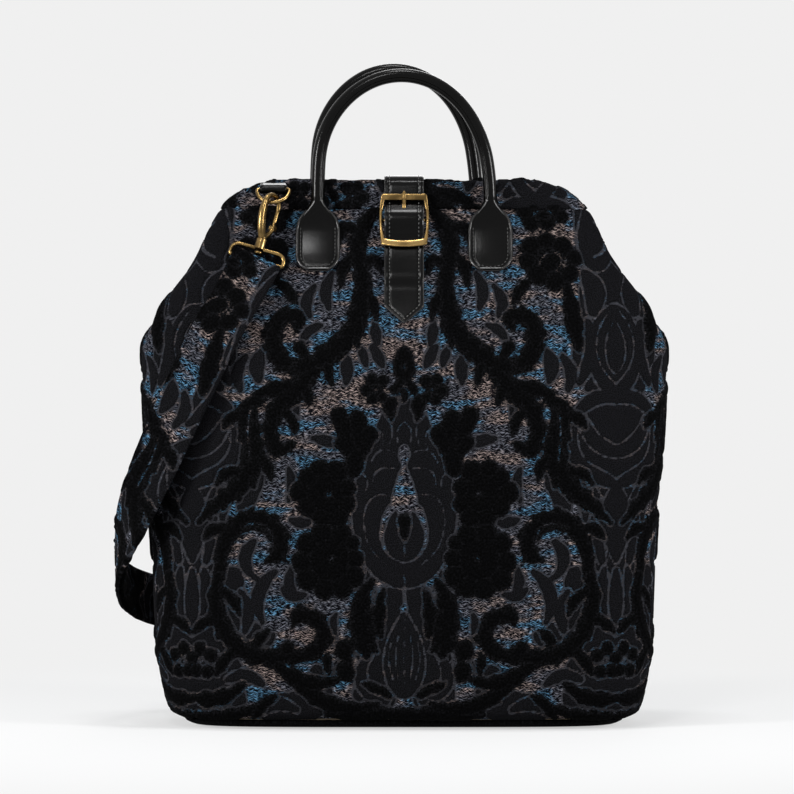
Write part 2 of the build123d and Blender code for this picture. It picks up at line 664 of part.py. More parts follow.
def clasp_gate():
    """Sprung gate between the lug and the nose, bevelled to close under the nose."""
    bar = rod((lug_x, 0, lug_z), (lug_x, 0, hook_high), GATE_RADIUS)
    above = Pos(0, 0, OVERRUN / 2) * Box(OVERRUN, OVERRUN, OVERRUN)
    bar -= Pos(HOOK_HALF_WIDTH, 0, nose_z - SEAT_GAP) * Rot(0, GATE_BEVEL, 0) * above
    eye = Cylinder(GATE_EYE_RADIUS, GATE_EYE_WIDTH)
    slim = Box(2 * GATE_RADIUS, GATE_EYE_WIDTH, 2 * (LUG_RADIUS + HOOK_WIRE_RADIUS))
    cheeks = Box(4 * GATE_RADIUS, 4 * GATE_RADIUS, 2 * (LUG_RADIUS + HOOK_WIRE_RADIUS)) - slim
    bar -= Pos(lug_x, 0, lug_z) * cheeks
    bar += Pos(lug_x, 0, lug_z) * Rot(90, 0, 0) * eye
    return bar - Pos(lug_x, 0, lug_z) * Rot(90, 0, 0) * Cylinder(GATE_PIN_RADIUS + TURN_GAP, OVERRUN)


def gate_pin():
    """Pin through the lug and the gate."""
    return Pos(lug_x, 0, lug_z) * Rot(90, 0, 0) * Cylinder(GATE_PIN_RADIUS, 2 * HOOK_WIRE_RADIUS)


def clasp_base():
    """Wire loop for the strap under a bored collar."""
    half_width = CLASP_WIDTH / 2 - CLASP_WIRE_RADIUS
    bar = -CLASP_BAR_DROP
    shoulder = bar + CLASP_LOOP_HEIGHT
    loop = FilletPolyline(
        (-half_width, bar),
        (half_width, bar),
        (half_width, shoulder),
        (-half_width, shoulder),
        radius=[CLASP_BAR_CORNER, CLASP_BAR_CORNER, CLASP_SHOULDER, CLASP_SHOULDER],
        close=True,
    )
    path = Plane.XZ * Wire(loop.edges())
    wire = sweep(Plane(origin=path @ 0, z_dir=path % 0) * Circle(CLASP_WIRE_RADIUS), path=path)
    base = wire + Cylinder(COLLAR_RADIUS, COLLAR_LENGTH)
    base -= Cylinder(STEM_RADIUS + TURN_GAP, OVERRUN)
    room = rod((0, 0, bar + CLASP_WIRE_RADIUS), (0, 0, -collar_top), STEM_HEAD_RADIUS + SEAT_GAP)
    return base - room


# The hook hangs on the lowest point of the ring's bow
ring_drop = RING_CORNER + ring_half
tilt = TOP_RING_TILT * pi / 180
bow_spot = Vector(TOP_RING_X, ring_y - ring_drop * sin(tilt), ring_z - ring_drop * cos(tilt))
wire_in_hook = hook_high + HOOK_HALF_WIDTH - HOOK_WIRE_RADIUS - RING_WIRE_RADIUS - HOOK_PLAY


def clasp_site(lean):
    """Place of a clasp that hangs from the front ring, with the middle and run of its strap bar."""
    axis = Vector(0, 0, 1).rotate(Axis.X, -CLASP_PITCH).rotate(Axis.Y, lean)
    collar = bow_spot - axis * wire_in_hook
    bar_run = Vector(0, 1, 0).cross(axis).normalized()
    place = Plane(origin=collar, x_dir=bar_run, z_dir=axis).location
    return place, collar - axis * CLASP_BAR_DROP, bar_run


front_place, front_bar, front_run = clasp_site(CLASP_LEAN)
rear_place, rear_bar, rear_run = clasp_site(REAR_CLASP_LEAN)
rear_place = Rot(0, 0, 180) * rear_place
rear_bar = rear_bar.rotate(Axis.Z, 180)
rear_run = rear_run.rotate(Axis.Z, 180)
twist = Rot(0, 0, CLASP_TWIST)
for side, place in (("front_", front_place), ("rear_", rear_place)):
    nodes[side + "clasp_base"] = place * clasp_base()
    nodes[side + "clasp_hook"] = place * twist * clasp_hook()
    nodes[side + "clasp_gate"] = place * twist * clasp_gate()
    nodes[side + "clasp_gate_pin"] = place * twist * gate_pin()

# Shoulder strap: one band from clasp to clasp, each end sewn round a clasp's bar
body_half = (BODY_WIDTH / 2, BODY_DEPTH / 2, BODY_HEIGHT)
route = [Vector(*(s * h for s, h in zip(row, body_half))) for row in STRAP_ROUTE_SHARES]
route = [front_bar, *route, rear_bar]
strap_sections = []
for index, spot in enumerate(route):
    ahead = route[min(index + 1, len(route) - 1)]
    behind = route[max(index - 1, 0)]
    run = (ahead - behind).normalized()
    across = outward(spot).cross(run)
    if index == 0:
        across = front_run
    if index == len(route) - 1:
        across = -rear_run
    run = (run - across * across.dot(run)).normalized()
    section = Plane(origin=spot, x_dir=across, z_dir=run)
    strap_sections.append(section * Rectangle(STRAP_WIDTH, STRAP_THICKNESS))
strap = loft(strap_sections)
sleeve_bore = CLASP_WIRE_RADIUS + TURN_GAP
for bar, bar_run in ((front_bar, front_run), (rear_bar, rear_run)):
    bar_place = Plane(origin=bar, z_dir=bar_run).location
    strap += bar_place * Cylinder(sleeve_bore + SLEEVE_WALL, STRAP_WIDTH)
    strap -= bar_place * Cylinder(sleeve_bore, STRAP_WIDTH + OVERRUN)
nodes["shoulder_strap"] = strap

os.makedirs("parts", exist_ok=True)
for name, shape in nodes.items():
    export_step(shape, f"parts/{name}.step")
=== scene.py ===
# Carpet backpack: cut-velvet damask cloth, rolled leather handles, buckled strap and brass clasps.
# Lengths are in millimetres until a mesh is made; the cloth's figure is drawn in its own units.

from math import cos, pi, radians, sin

import bpy
import numpy as np
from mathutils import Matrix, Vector


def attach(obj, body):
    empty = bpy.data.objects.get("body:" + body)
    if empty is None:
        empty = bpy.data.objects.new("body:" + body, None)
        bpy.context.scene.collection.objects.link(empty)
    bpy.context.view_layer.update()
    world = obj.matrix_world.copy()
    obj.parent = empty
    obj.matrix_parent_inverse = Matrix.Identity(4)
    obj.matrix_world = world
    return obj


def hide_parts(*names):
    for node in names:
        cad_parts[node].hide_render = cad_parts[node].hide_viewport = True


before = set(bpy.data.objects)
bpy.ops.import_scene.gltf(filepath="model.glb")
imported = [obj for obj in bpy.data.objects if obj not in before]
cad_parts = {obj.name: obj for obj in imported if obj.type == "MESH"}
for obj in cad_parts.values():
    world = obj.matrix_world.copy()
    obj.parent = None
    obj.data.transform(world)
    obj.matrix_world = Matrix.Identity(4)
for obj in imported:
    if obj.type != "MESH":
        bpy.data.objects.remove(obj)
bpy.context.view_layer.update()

MM = 0.001
UP = np.array((0.0, 0.0, 1.0))
HALF_TURN = np.array((-1, -1, 1))

# Bag body, as in the solids
BODY_WIDTH = 410.0
BODY_HEIGHT = 421.0
BODY_DEPTH = 160.0
BASE_THICKNESS = 5.9
CASING_LINE = 398.0
CASING_TUCK = 2.5
CASING_HEM = 4
SIDE_HEM = 5
SEAT = 0.3
BODY_SHARES = np.array((
    (0.000, 0.795, 0.735, 4.5), (0.007, 0.820, 0.775, 4.5), (0.014, 0.835, 0.800, 4.5),
    (0.030, 0.880, 0.885, 4.2), (0.060, 0.905, 0.940, 4.0), (0.130, 0.930, 0.985, 3.8),
    (0.290, 0.947, 1.000, 3.6), (0.450, 0.968, 0.955, 3.5), (0.570, 0.983, 0.860, 3.4),
    (0.640, 0.992, 0.775, 3.3), (0.685, 0.993, 0.700, 3.3), (0.735, 0.955, 0.600, 3.3),
    (0.780, 0.900, 0.500, 3.4), (0.825, 0.828, 0.395, 3.8), (0.865, 0.775, 0.300, 4.4),
    (0.900, 0.742, 0.240, 5.0), (0.927, 0.714, 0.206, 5.3), (0.955, 0.676, 0.183, 5.5),
    (0.972, 0.638, 0.166, 5.2), (0.985, 0.598, 0.142, 4.8), (0.994, 0.552, 0.110, 4.0),
    (1.000, 0.500, 0.060, 3.0),
))

# Room behind the swinging hardware: distance along the cloth from its middle, height and depth
CLASP_RUN, CLASP_HEIGHT, CLASP_ROOM = -102, 384, 4.4
LOW_RING_RUN, LOW_RING_HEIGHT, LOW_RING_ROOM = 121, 27, 3.0
CASING_RUN, CASING_ROOM = -100, 2.2

# Figure of the cloth: strokes of (across from the mirror line, drop from the top, half width)
FIGURE_UNIT = 0.325
FIGURE_TOP = 444.6
FIGURE_HALF = 500.0
FIGURE_DROP = (100.0, 1350.0)
FIGURE_WOBBLE = 1.3
LEAF_SPACING = 21.0
LEAF_LEAN = radians(44)
LOOP_GROWTH = 1.5
LOOP_GAP = 4
VELVET_PILE, VELVET_CROWN, LOOP_PILE = 1.5, 1.1, 1.0
VELVET_STROKES = (
    # crown bud, its flowers and drops
    ((0, 478, 3), (0, 495, 17), (0, 516, 27), (0, 538, 19), (2, 560, 6)),
    ((8, 558, 8), (22, 576, 12)), ((0, 582, 10), (0, 602, 6)),
    ((50, 556, 15), (51, 557, 15)), ((76, 554, 15), (77, 555, 15)), ((88, 578, 15), (89, 579, 15)),
    ((74, 598, 14), (75, 599, 14)), ((50, 594, 13), (51, 595, 13)), ((64, 576, 14), (66, 577, 14)),
    ((33, 594, 3), (33, 612, 16), (33, 630, 13), (30, 645, 4)),
    ((0, 866, 5), (0, 886, 15), (0, 904, 12), (0, 926, 3)),
    # upper palmettes
    ((118, 716, 10), (140, 668, 19), (153, 638, 23)), ((108, 716, 10), (109, 668, 20), (110, 642, 22)),
    ((104, 728, 8), (90, 700, 19), (84, 682, 22)), ((114, 728, 10), (134, 710, 20), (144, 700, 21)),
    ((119, 776, 5), (116, 756, 20), (114, 736, 24), (112, 716, 14)),
    # side rosettes
    ((184, 806, 46), (180, 826, 46)), ((158, 768, 28), (159, 769, 28)), ((196, 764, 25), (197, 765, 25)),
    ((222, 782, 25), (223, 783, 25)), ((240, 814, 26), (241, 815, 26)), ((222, 846, 26), (221, 847, 26)),
    ((190, 868, 27), (189, 869, 27)), ((156, 870, 27), (155, 871, 27)), ((138, 842, 24), (137, 841, 24)),
    ((137, 806, 23), (136, 805, 23)),
    # lower rosettes
    ((174, 966, 50), (174, 974, 50)), ((148, 914, 26), (149, 915, 26)), ((190, 910, 27), (191, 911, 27)),
    ((224, 934, 26), (225, 935, 26)), ((238, 976, 25), (238, 977, 25)), ((224, 1016, 27), (223, 1017, 27)),
    ((186, 1036, 27), (185, 1037, 27)), ((146, 1034, 27), (145, 1033, 27)), ((120, 1010, 27), (119, 1009, 27)),
    ((116, 970, 22), (115, 969, 22)), ((122, 934, 19), (122, 933, 19)),
    # leaves beside the bud
    ((76, 1022, 8), (96, 1056, 18), (100, 1110, 27), (93, 1168, 23), (88, 1198, 6)),
    ((48, 1040, 4), (56, 1070, 12), (60, 1110, 15), (56, 1150, 6)),
    ((140, 1164, 6), (140, 1184, 21), (130, 1204, 8)), ((136, 1214, 6), (137, 1232, 20), (126, 1252, 6)),
    ((179, 1190, 4), (180, 1212, 12), (176, 1236, 4)), ((272, 1166, 6), (272, 1184, 17), (268, 1200, 8)),
    # upper garland with its curl
    ((60, 138, 8), (80, 158, 15), (98, 190, 18), (112, 240, 20), (104, 290, 18), (98, 335, 20),
     (106, 385, 23), (128, 450, 25), (166, 482, 25), (210, 516, 23), (262, 522, 20)),
    ((252, 522, 18), (284, 512, 21), (302, 480, 21), (306, 436, 19), (280, 404, 20), (250, 410, 17),
     (256, 434, 8)),
    ((298, 470, 10), (324, 444, 13)),
    ((122, 440, 12), (150, 468, 15), (205, 484, 4)),
    ((225, 505, 8), (247, 477, 16)),
    ((100, 330, 8), (76, 372, 14), (64, 412, 4)),
    ((108, 250, 8), (142, 284, 15), (150, 330, 6)),
    ((104, 200, 8), (142, 190, 16), (158, 232, 7)),
    ((100, 285, 7), (70, 268, 14), (56, 300, 5)),
    # lower garland
    ((208, 520, 18), (238, 562, 22), (274, 594, 23), (302, 628, 20), (310, 684, 17), (292, 716, 18),
     (264, 704, 10)),
    ((250, 566, 10), (300, 574, 19), (345, 588, 10)),
    ((222, 540, 8), (227, 580, 13), (221, 608, 8)),
    ((182, 508, 9), (176, 540, 13), (171, 564, 5)),
    ((290, 620, 8), (262, 648, 13), (254, 680, 5)),
    # acanthus down to the side
    ((332, 600, 8), (362, 612, 20), (362, 672, 25), (356, 744, 26), (382, 796, 22), (436, 842, 16),
     (484, 886, 6)),
    ((362, 640, 8), (402, 640, 15), (424, 664, 6)), ((352, 720, 8), (322, 750, 14), (312, 788, 5)),
    ((366, 770, 8), (412, 770, 14), (440, 796, 5)),
    # crozier and its trunk
    ((430, 1004, 13), (424, 950, 17), (402, 906, 21), (360, 880, 23), (314, 892, 23), (290, 930, 21),
     (300, 966, 15), (320, 974, 7)),
    ((400, 910, 8), (440, 900, 14), (470, 924, 6)),
    ((430, 1000, 13), (442, 1060, 17), (428, 1120, 20), (392, 1170, 21), (340, 1196, 21),
     (285, 1198, 17), (240, 1188, 11)),
    ((430, 1110, 8), (466, 1118, 14), (494, 1142, 6)), ((438, 1040, 7), (400, 1064, 14), (384, 1100, 5)),
    ((352, 1196, 8), (340, 1160, 14), (316, 1136, 5)), ((392, 1176, 8), (420, 1208, 15), (440, 1240, 6)),
    # lower curl and the foot
    ((264, 1204, 12), (226, 1192, 17), (192, 1166, 19), (190, 1130, 16), (218, 1104, 19),
     (248, 1102, 16), (256, 1122, 7)),
    ((300, 1212, 10), (260, 1244, 19), (204, 1260, 17), (152, 1248, 7)),
    ((252, 1262, 10), (192, 1300, 19), (124, 1318, 15), (62, 1308, 7)),
    ((0, 1336, 17), (60, 1334, 18), (120, 1340, 16), (180, 1334, 8)),
    ((30, 1290, 5), (60, 1274, 12), (96, 1260, 4)),
    # corner rosettes and leaves
    ((452, 1196, 16), (453, 1197, 16)), ((478, 1180, 16), (479, 1181, 16)),
    ((498, 1202, 15), (499, 1203, 15)), ((490, 1232, 16), (491, 1233, 16)),
    ((460, 1234, 16), (461, 1235, 16)),
    ((376, 1262, 7), (416, 1290, 17), (468, 1300, 17), (500, 1298, 10)),
    ((350, 1318, 8), (416, 1340, 17), (484, 1344, 15)), ((300, 1290, 6), (330, 1310, 14), (352, 1344, 8)),
    # upper roses
    ((285, 150, 19), (290, 152, 19)), ((315, 134, 21), (318, 134, 21)), ((350, 140, 21), (354, 142, 21)),
    ((374, 162, 16), (375, 164, 16)), ((344, 176, 19), (340, 178, 19)), ((304, 180, 19), (300, 178, 19)),
    ((328, 156, 18), (332, 158, 18)),
    ((298, 238, 23), (302, 234, 23)), ((334, 222, 21), (338, 222, 21)), ((374, 234, 23), (378, 238, 23)),
    ((404, 262, 19), (405, 266, 19)), ((394, 300, 21), (390, 304, 21)), ((360, 320, 23), (356, 322, 23)),
    ((320, 306, 25), (316, 302, 25)), ((294, 274, 21), (293, 270, 21)), ((344, 268, 32), (348, 270, 32)),
    ((384, 326, 8), (394, 380, 19), (402, 430, 21), (412, 482, 7)),
    ((300, 318, 7), (272, 344, 14), (258, 372, 5)),
    ((228, 150, 6), (238, 190, 15), (232, 232, 12), (214, 262, 5)),
)
LOOP_STROKES = (
    # medallion
    ((0, 640, 46), (0, 668, 60), (0, 705, 74), (0, 760, 98), (0, 815, 114), (0, 868, 119), (0, 920, 108),
     (0, 962, 72), (0, 992, 20)),
    # bud below and its calyx
    ((0, 1100, 5), (0, 1140, 25), (0, 1185, 42), (0, 1230, 44), (0, 1265, 28), (0, 1286, 7)),
    ((82, 1196, 5), (102, 1236, 12), (84, 1280, 13), (44, 1302, 8)),
    ((120, 1190, 5), (150, 1216, 12), (176, 1232, 5)),
    # small leaves in the open ground
    ((50, 522, 4), (62, 498, 12), (74, 476, 6)), ((90, 520, 4), (96, 496, 10), (104, 476, 4)),
    ((136, 562, 4), (134, 526, 14), (142, 488, 5)), ((70, 418, 4), (67, 446, 12), (62, 470, 4)),
    ((258, 668, 4), (258, 626, 12), (252, 580, 4)), ((212, 690, 5), (186, 694, 12), (150, 706, 5)),
    ((264, 880, 5), (238, 885, 12), (214, 880, 5)), ((340, 557, 5), (346, 520, 17), (335, 484, 5)),
    ((170, 300, 4), (186, 340, 13), (178, 384, 5)), ((212, 330, 4), (232, 372, 12), (222, 404, 4)),
    ((196, 424, 4), (222, 436, 11), (240, 462, 4)), ((270, 760, 4), (262, 800, 11), (270, 836, 4)),
    ((230, 1052, 4), (262, 1056, 11), (284, 1040, 4)), ((262, 990, 4), (268, 1024, 11), (252, 1060, 4)),
    ((180, 200, 4), (196, 244, 13), (184, 286, 4)), ((160, 1100, 4), (168, 1134, 11), (158, 1172, 4)),
    ((300, 1000, 5), (330, 1030, 14), (342, 1080, 12), (330, 1118, 4)),
    ((382, 1046, 5), (364, 1090, 14), (372, 1138, 6)), ((306, 1146, 5), (322, 1166, 10), (350, 1172, 4)),
    ((330, 1262, 6), (370, 1242, 14), (412, 1252, 6)), ((252, 1322, 6), (300, 1308, 14), (342, 1334, 8)),
    ((350, 930, 6), (370, 960, 14), (362, 1000, 8), (340, 1018, 4)),
    # side column: fruit, urn lines and leaves
    ((500, 384, 8), (500, 430, 48), (500, 480, 64), (500, 530, 54), (500, 565, 25), (500, 586, 5)),
    ((398, 642, 7), (432, 606, 14), (476, 592, 14), (500, 596, 12)),
    ((420, 646, 8), (442, 690, 15), (480, 716, 14), (500, 722, 12)),
    ((398, 664, 6), (394, 720, 14), (424, 764, 16), (470, 786, 14), (500, 800, 8)),
    ((500, 806, 8), (486, 844, 17), (482, 890, 19), (490, 940, 12), (500, 974, 6)),
    ((440, 806, 6), (454, 850, 13), (450, 906, 15), (464, 974, 8)),
    ((470, 996, 5), (462, 1040, 15), (464, 1088, 12), (480, 1122, 5)),
    ((500, 1000, 6), (500, 1060, 17), (500, 1110, 12), (500, 1146, 4)),
    ((462, 160, 34), (466, 214, 50), (458, 264, 30)), ((430, 302, 10), (452, 342, 24), (448, 388, 14)),
    ((432, 420, 10), (444, 470, 16), (432, 520, 14), (412, 560, 6)), ((372, 498, 5), (392, 536, 13), (384, 578, 5)),
)
FILLED_STROKES = (
    ((500, 600, 60), (500, 680, 92), (490, 780, 84), (480, 880, 60), (482, 980, 46)),
    ((480, 1030, 40), (460, 1090, 52), (470, 1160, 60), (450, 1250, 70), (440, 1330, 60)),
    ((470, 300, 46), (478, 380, 62), (480, 470, 80), (486, 560, 60)), ((450, 160, 44), (462, 220, 52)),
    ((30, 1050, 26), (60, 1130, 44), (64, 1220, 46), (70, 1300, 50)),
    ((110, 960, 22), (112, 1000, 26), (90, 1040, 24)),
    ((200, 1240, 24), (210, 1300, 40), (300, 1330, 40)), ((150, 880, 20), (140, 900, 22)),
    ((330, 660, 10), (340, 760, 20), (372, 850, 18)), ((400, 1010, 22), (392, 1080, 30), (360, 1140, 26)),
)
GROUND_STROKES = (
    # keyhole, ring and fine lines of the medallion
    ((0, 704, 3), (0, 722, 15), (0, 740, 11), (0, 754, 8), (0, 778, 15), (0, 806, 25), (0, 834, 32)),
    ((0, 838, 12), (28, 850, 11), (45, 880, 8.5), (52, 914, 5.5), (44, 948, 3.5), (24, 970, 2.5), (0, 979, 2)),
    ((40, 822, 1.5), (64, 822, 1.7), (86, 842, 1.7), (94, 882, 1.7), (87, 925, 1.5), (66, 960, 1.2),
     (40, 984, 1.0)),
    ((20, 760, 1.3), (46, 758, 1.6), (68, 772, 1.6), (74, 796, 1.4)),
    ((98, 768, 1.3), (86, 788, 1.6), (90, 812, 1.3)),
    ((24, 722, 1.3), (48, 716, 1.5), (70, 730, 1.4), (78, 748, 1.2)),
    ((0, 650, 1.3), (16, 672, 1.5), (14, 700, 1.3)), ((58, 668, 1.3), (48, 690, 1.5), (54, 712, 1.3)),
    ((36, 642, 1.3), (28, 672, 1.5), (36, 706, 1.3)),
    ((172, 818, 4), (176, 820, 4)), ((168, 968, 3), (172, 970, 3)), ((0, 520, 3), (0, 524, 3)),
    ((64, 577, 3), (66, 577, 3)), ((0, 930, 1.5), (0, 952, 2), (0, 962, 1.5)),
    ((0, 1004, 1.5), (0, 1050, 2.2), (0, 1112, 1.5)), ((0, 1124, 1.5), (0, 1262, 1.5)),
    ((14, 1150, 1.2), (20, 1200, 1.5), (14, 1250, 1.2)), ((30, 1160, 1.2), (36, 1205, 1.5), (26, 1252, 1.2)),
    ((486, 392, 1.4), (462, 430, 2), (454, 480, 2), (470, 530, 2), (500, 562, 2)),
    ((494, 420, 1.3), (480, 450, 1.6), (476, 496, 1.6), (486, 526, 1.6), (500, 540, 1.4)),
    ((456, 176, 3), (480, 190, 5), (490, 216, 7), (478, 246, 5), (452, 260, 3)),
    ((320, 280, 1.6), (334, 256, 1.6), (360, 250, 1.6), (374, 270, 1.6), (362, 294, 1.6)),
    ((310, 160, 1.4), (328, 146, 1.4), (350, 156, 1.4), (344, 168, 1.4)),
    ((476, 1208, 3), (478, 1210, 3)), ((336, 930, 5), (330, 950, 8), (338, 960, 5)),
    ((400, 1130, 1.6), (360, 1168, 1.6), (300, 1180, 1.6)), ((360, 620, 1.6), (366, 680, 1.8), (360, 740, 1.6)),
    ((376, 896, 1.6), (340, 888, 1.8), (312, 908, 1.6), (306, 940, 1.6)),
)

# Leather, buckle and strap sizes, as in the solids
HANDLE_SPAN = 133.4
HANDLE_RADIUS = 5.25
HANDLE_ROLL_DROP = 17.0
HANDLE_LEG = 30.0
TAB_WIDTH = 33.4
TAB_THICKNESS = 3.4
TAB_LENGTH = 55.0
TAB_CORNER = 13.0
TAB_STITCH_INSET = 3.4
TAB_STITCH_TOP = 33
TAB_RIM_TOP = 48
TAB_RIM, TAB_PAD, TAB_GROOVE = 0.35, 0.4, 0.3
NECK_SHARES = np.array((
    (0.00, 1.00, 1.00, 6.0), (0.20, 1.00, 1.00, 6.0), (0.40, 1.00, 1.00, 6.0), (0.56, 0.99, 1.00, 5.4),
    (0.66, 0.92, 0.95, 4.6), (0.73, 0.80, 0.84, 3.8), (0.79, 0.60, 0.64, 3.1), (0.87, 0.33, 0.34, 2.5),
    (0.94, 0.13, 0.12, 2.1), (1.00, 0.00, 0.00, 2.0),
))
ARCH_DRAW = 0.5
ARCH_LEAN = -2.0
REAR_HANDLE_SPAN = 125.4
REAR_HANDLE_LEG = 38.0
REAR_HANDLE_SHIFT = -6.0
REAR_HANDLE_RISE = 4.0
CLOSURE_WIDTH = 30.0
CLOSURE_THICKNESS = 3.0
CLOSURE_TIP = 308.0
CLOSURE_POINT = 13.0
CLOSURE_STITCH_INSET = 3.7
STRAP_WIDTH = 38.0
STRAP_THICKNESS = 4.0
STRAP_FIGURE = (122, 402)
STRAP_STEPS = 420
SLEEVE_RADIUS = 3.9


def smooth_between(x, xs, ys):
    """Monotone cubic curve through the points of a table."""
    step = np.diff(xs)
    slope = np.diff(ys) / step
    lean = np.zeros(len(ys))
    lean[0], lean[-1] = slope[0], slope[-1]
    both = slope[:-1] * slope[1:] > 0
    before, after = step[:-1] + 2 * step[1:], 2 * step[:-1] + step[1:]
    safe_a = np.where(both, slope[:-1], 1.0)
    safe_b = np.where(both, slope[1:], 1.0)
    lean[1:-1] = np.where(both, (before + after) / (before / safe_a + after / safe_b), 0.0)
    x = np.asarray(x, float)
    i = np.clip(np.searchsorted(xs, x, side="right") - 1, 0, len(step) - 1)
    t = np.clip((x - xs[i]) / step[i], 0, 1)
    h = step[i]
    return (
        (2 * t**3 - 3 * t**2 + 1) * ys[i] + (t**3 - 2 * t**2 + t) * h * lean[i]
        + (3 * t**2 - 2 * t**3) * ys[i + 1] + (t**3 - t**2) * h * lean[i + 1]
    )


def body_at(height):
    """Half width, half depth and squareness of the bag at a height."""
    share = np.clip(np.asarray(height, float) / BODY_HEIGHT, 0, 1)
    table = [smooth_between(share, BODY_SHARES[:, 0], BODY_SHARES[:, k]) for k in (1, 2, 3)]
    return table[0] * BODY_WIDTH / 2, table[1] * BODY_DEPTH / 2, table[2]


def reach(x, height):
    """Distance of the front or rear face from the middle plane."""
    wide, deep, square = body_at(height)
    return deep * (1 - np.minimum(np.abs(x) / wide, 1) ** square) ** (1 / square)


def turns(count):
    """Angles of a full turn."""
    return 2 * pi * np.arange(count) / count


def squared(wave, power):
    """Sine or cosine whose section is flattened towards a square."""
    return np.sign(wave) * np.abs(wave) ** power


def superellipse(wide, deep, square, count):
    """Closed outline between an ellipse and a rectangle."""
    turn = turns(count)
    x, y = wide * squared(np.cos(turn), 2 / square), deep * squared(np.sin(turn), 2 / square)
    return np.stack((x, y), axis=1)


def bell(value, middle, spread):
    """1 at the middle, fading to 0 on both sides."""
    return np.exp(-((value - middle) / spread) ** 2)


def unit(rows):
    """The rows' directions."""
    return rows / np.linalg.norm(rows, axis=1)[:, None]


def lengths(path):
    """Length of a path up to each of its places."""
    return np.concatenate(([0], np.cumsum(np.linalg.norm(np.diff(path, axis=0), axis=1))))


def spline(points, count, knots=None):
    """Natural cubic curve through points, by chord length, at evenly spaced parameters."""
    points = np.asarray(points, float)
    if knots is None:
        knots = lengths(points)
    n = len(points)
    h = np.diff(knots)
    matrix = np.eye(n)
    side = np.zeros_like(points)
    for i in range(1, n - 1):
        matrix[i, i - 1 : i + 2] = h[i - 1], 2 * (h[i - 1] + h[i]), h[i]
        side[i] = 6 * ((points[i + 1] - points[i]) / h[i] - (points[i] - points[i - 1]) / h[i - 1])
    bend = np.linalg.solve(matrix, side)
    at = np.linspace(knots[0], knots[-1], count)
    i = np.clip(np.searchsorted(knots, at, side="right") - 1, 0, n - 2)
    a = ((knots[i + 1] - at) / h[i])[:, None]
    b = ((at - knots[i]) / h[i])[:, None]
    hh = (h[i] ** 2)[:, None] / 6
    return a * points[i] + b * points[i + 1] + ((a**3 - a) * bend[i] + (b**3 - b) * bend[i + 1]) * hh


def even(path, spacing):
    """The same path at an even spacing."""
    length = lengths(path)
    count = max(int(round(length[-1] / spacing)) + 1, 2)
    at = np.linspace(0, length[-1], count)
    return np.stack([np.interp(at, length, path[:, k]) for k in range(path.shape[1])], axis=1)


def eased(points, radius):
    """Polyline whose corners are rounded off."""
    points = np.asarray(points, float)
    path = [points[0]]
    for before, corner, after in zip(points, points[1:], points[2:]):
        back, on = before - corner, after - corner
        cut = min(radius, np.linalg.norm(back) * 0.48, np.linalg.norm(on) * 0.48)
        start = corner + back / np.linalg.norm(back) * cut
        end = corner + on / np.linalg.norm(on) * cut
        for t in np.linspace(0, 1, 9):
            path.append((1 - t) ** 2 * start + 2 * t * (1 - t) * corner + t**2 * end)
    path.append(points[-1])
    return np.array(path)


def step_up(value, low, high):
    """Smooth rise from 0 to 1."""
    t = np.clip((value - low) / (high - low), 0, 1)
    return t * t * (3 - 2 * t)


def ripple(a, b, seed, count=7, low=0.02, high=0.06):
    """Slow unevenness of soft cloth, about -1 to 1."""
    rng = np.random.default_rng(seed)
    total = np.zeros_like(a)
    for _ in range(count):
        angle, pitch, phase = rng.uniform(0, pi), rng.uniform(low, high), rng.uniform(0, 2 * pi)
        total += np.sin(pitch * (a * cos(angle) + b * sin(angle)) + phase)
    return total / count**0.5


# Figure of the cloth


def spine(stroke, lobed):
    """Stroke drawn finer, with the scalloped edge of a woven leaf."""
    stroke = np.array(stroke, float)
    if len(stroke) < 3:
        return stroke
    fine = spline(stroke, 5 * (len(stroke) - 1) + 1)
    run = lengths(fine[:, :2])
    fine[:, 2] = np.maximum(fine[:, 2], 1)
    if lobed:
        fine[:, 2] *= 1 + 0.12 * np.sin(run / 7)
    return fine


def with_leaves(strokes):
    """Long strokes grow short pointed leaves on both sides, as an acanthus stem does."""
    grown = list(strokes)
    for stroke in strokes:
        line = even(spine(stroke, False), LEAF_SPACING) if len(stroke) > 4 else np.zeros((0, 3))
        if len(line) < 9:
            continue
        run = unit(np.gradient(line[:, :2], axis=0))
        for i in range(1, len(line) - 2):
            lean = LEAF_LEAN if i % 2 else -LEAF_LEAN
            x, y = run[i]
            ahead = np.array((x * cos(lean) - y * sin(lean), x * sin(lean) + y * cos(lean)))
            wide = line[i, 2]
            middle, tip = line[i, :2] + ahead * wide * 0.95, line[i, :2] + ahead * wide * 1.5
            grown.append(((*line[i, :2], 0.5 * wide), (*middle, 0.5 * wide), (*tip, 0.24 * wide)))
    return grown


def depth_in(strokes, across, drop, lobed):
    """How far inside the strokes each place lies, in figure units, and inside the next stroke."""
    found = np.full(across.shape, -30.0)
    other = found.copy()
    for stroke in strokes:
        line = spine(stroke, lobed)
        room = line[:, 2].max() + 12
        near = (across > line[:, 0].min() - room) & (across < line[:, 0].max() + room)
        near &= (drop > line[:, 1].min() - room) & (drop < line[:, 1].max() + room)
        if not near.any():
            continue
        spot = np.stack((across[near], drop[near]), axis=1)[:, None, :]
        start, run = line[:-1, :2], np.diff(line[:, :2], axis=0)
        square = (run**2).sum(1) + 1e-9
        t = np.clip(((spot - start) * run).sum(2) / square, 0, 1)
        gap = np.linalg.norm(spot - start - t[..., None] * run, axis=2)
        wide = line[:-1, 2] + t * np.diff(line[:, 2])
        depth = (wide - gap).max(1)
        other[near] = np.maximum(other[near], np.minimum(found[near], depth))
        found[near] = np.maximum(found[near], depth)
    return found, other


VELVET_LEAVES = with_leaves(VELVET_STROKES)


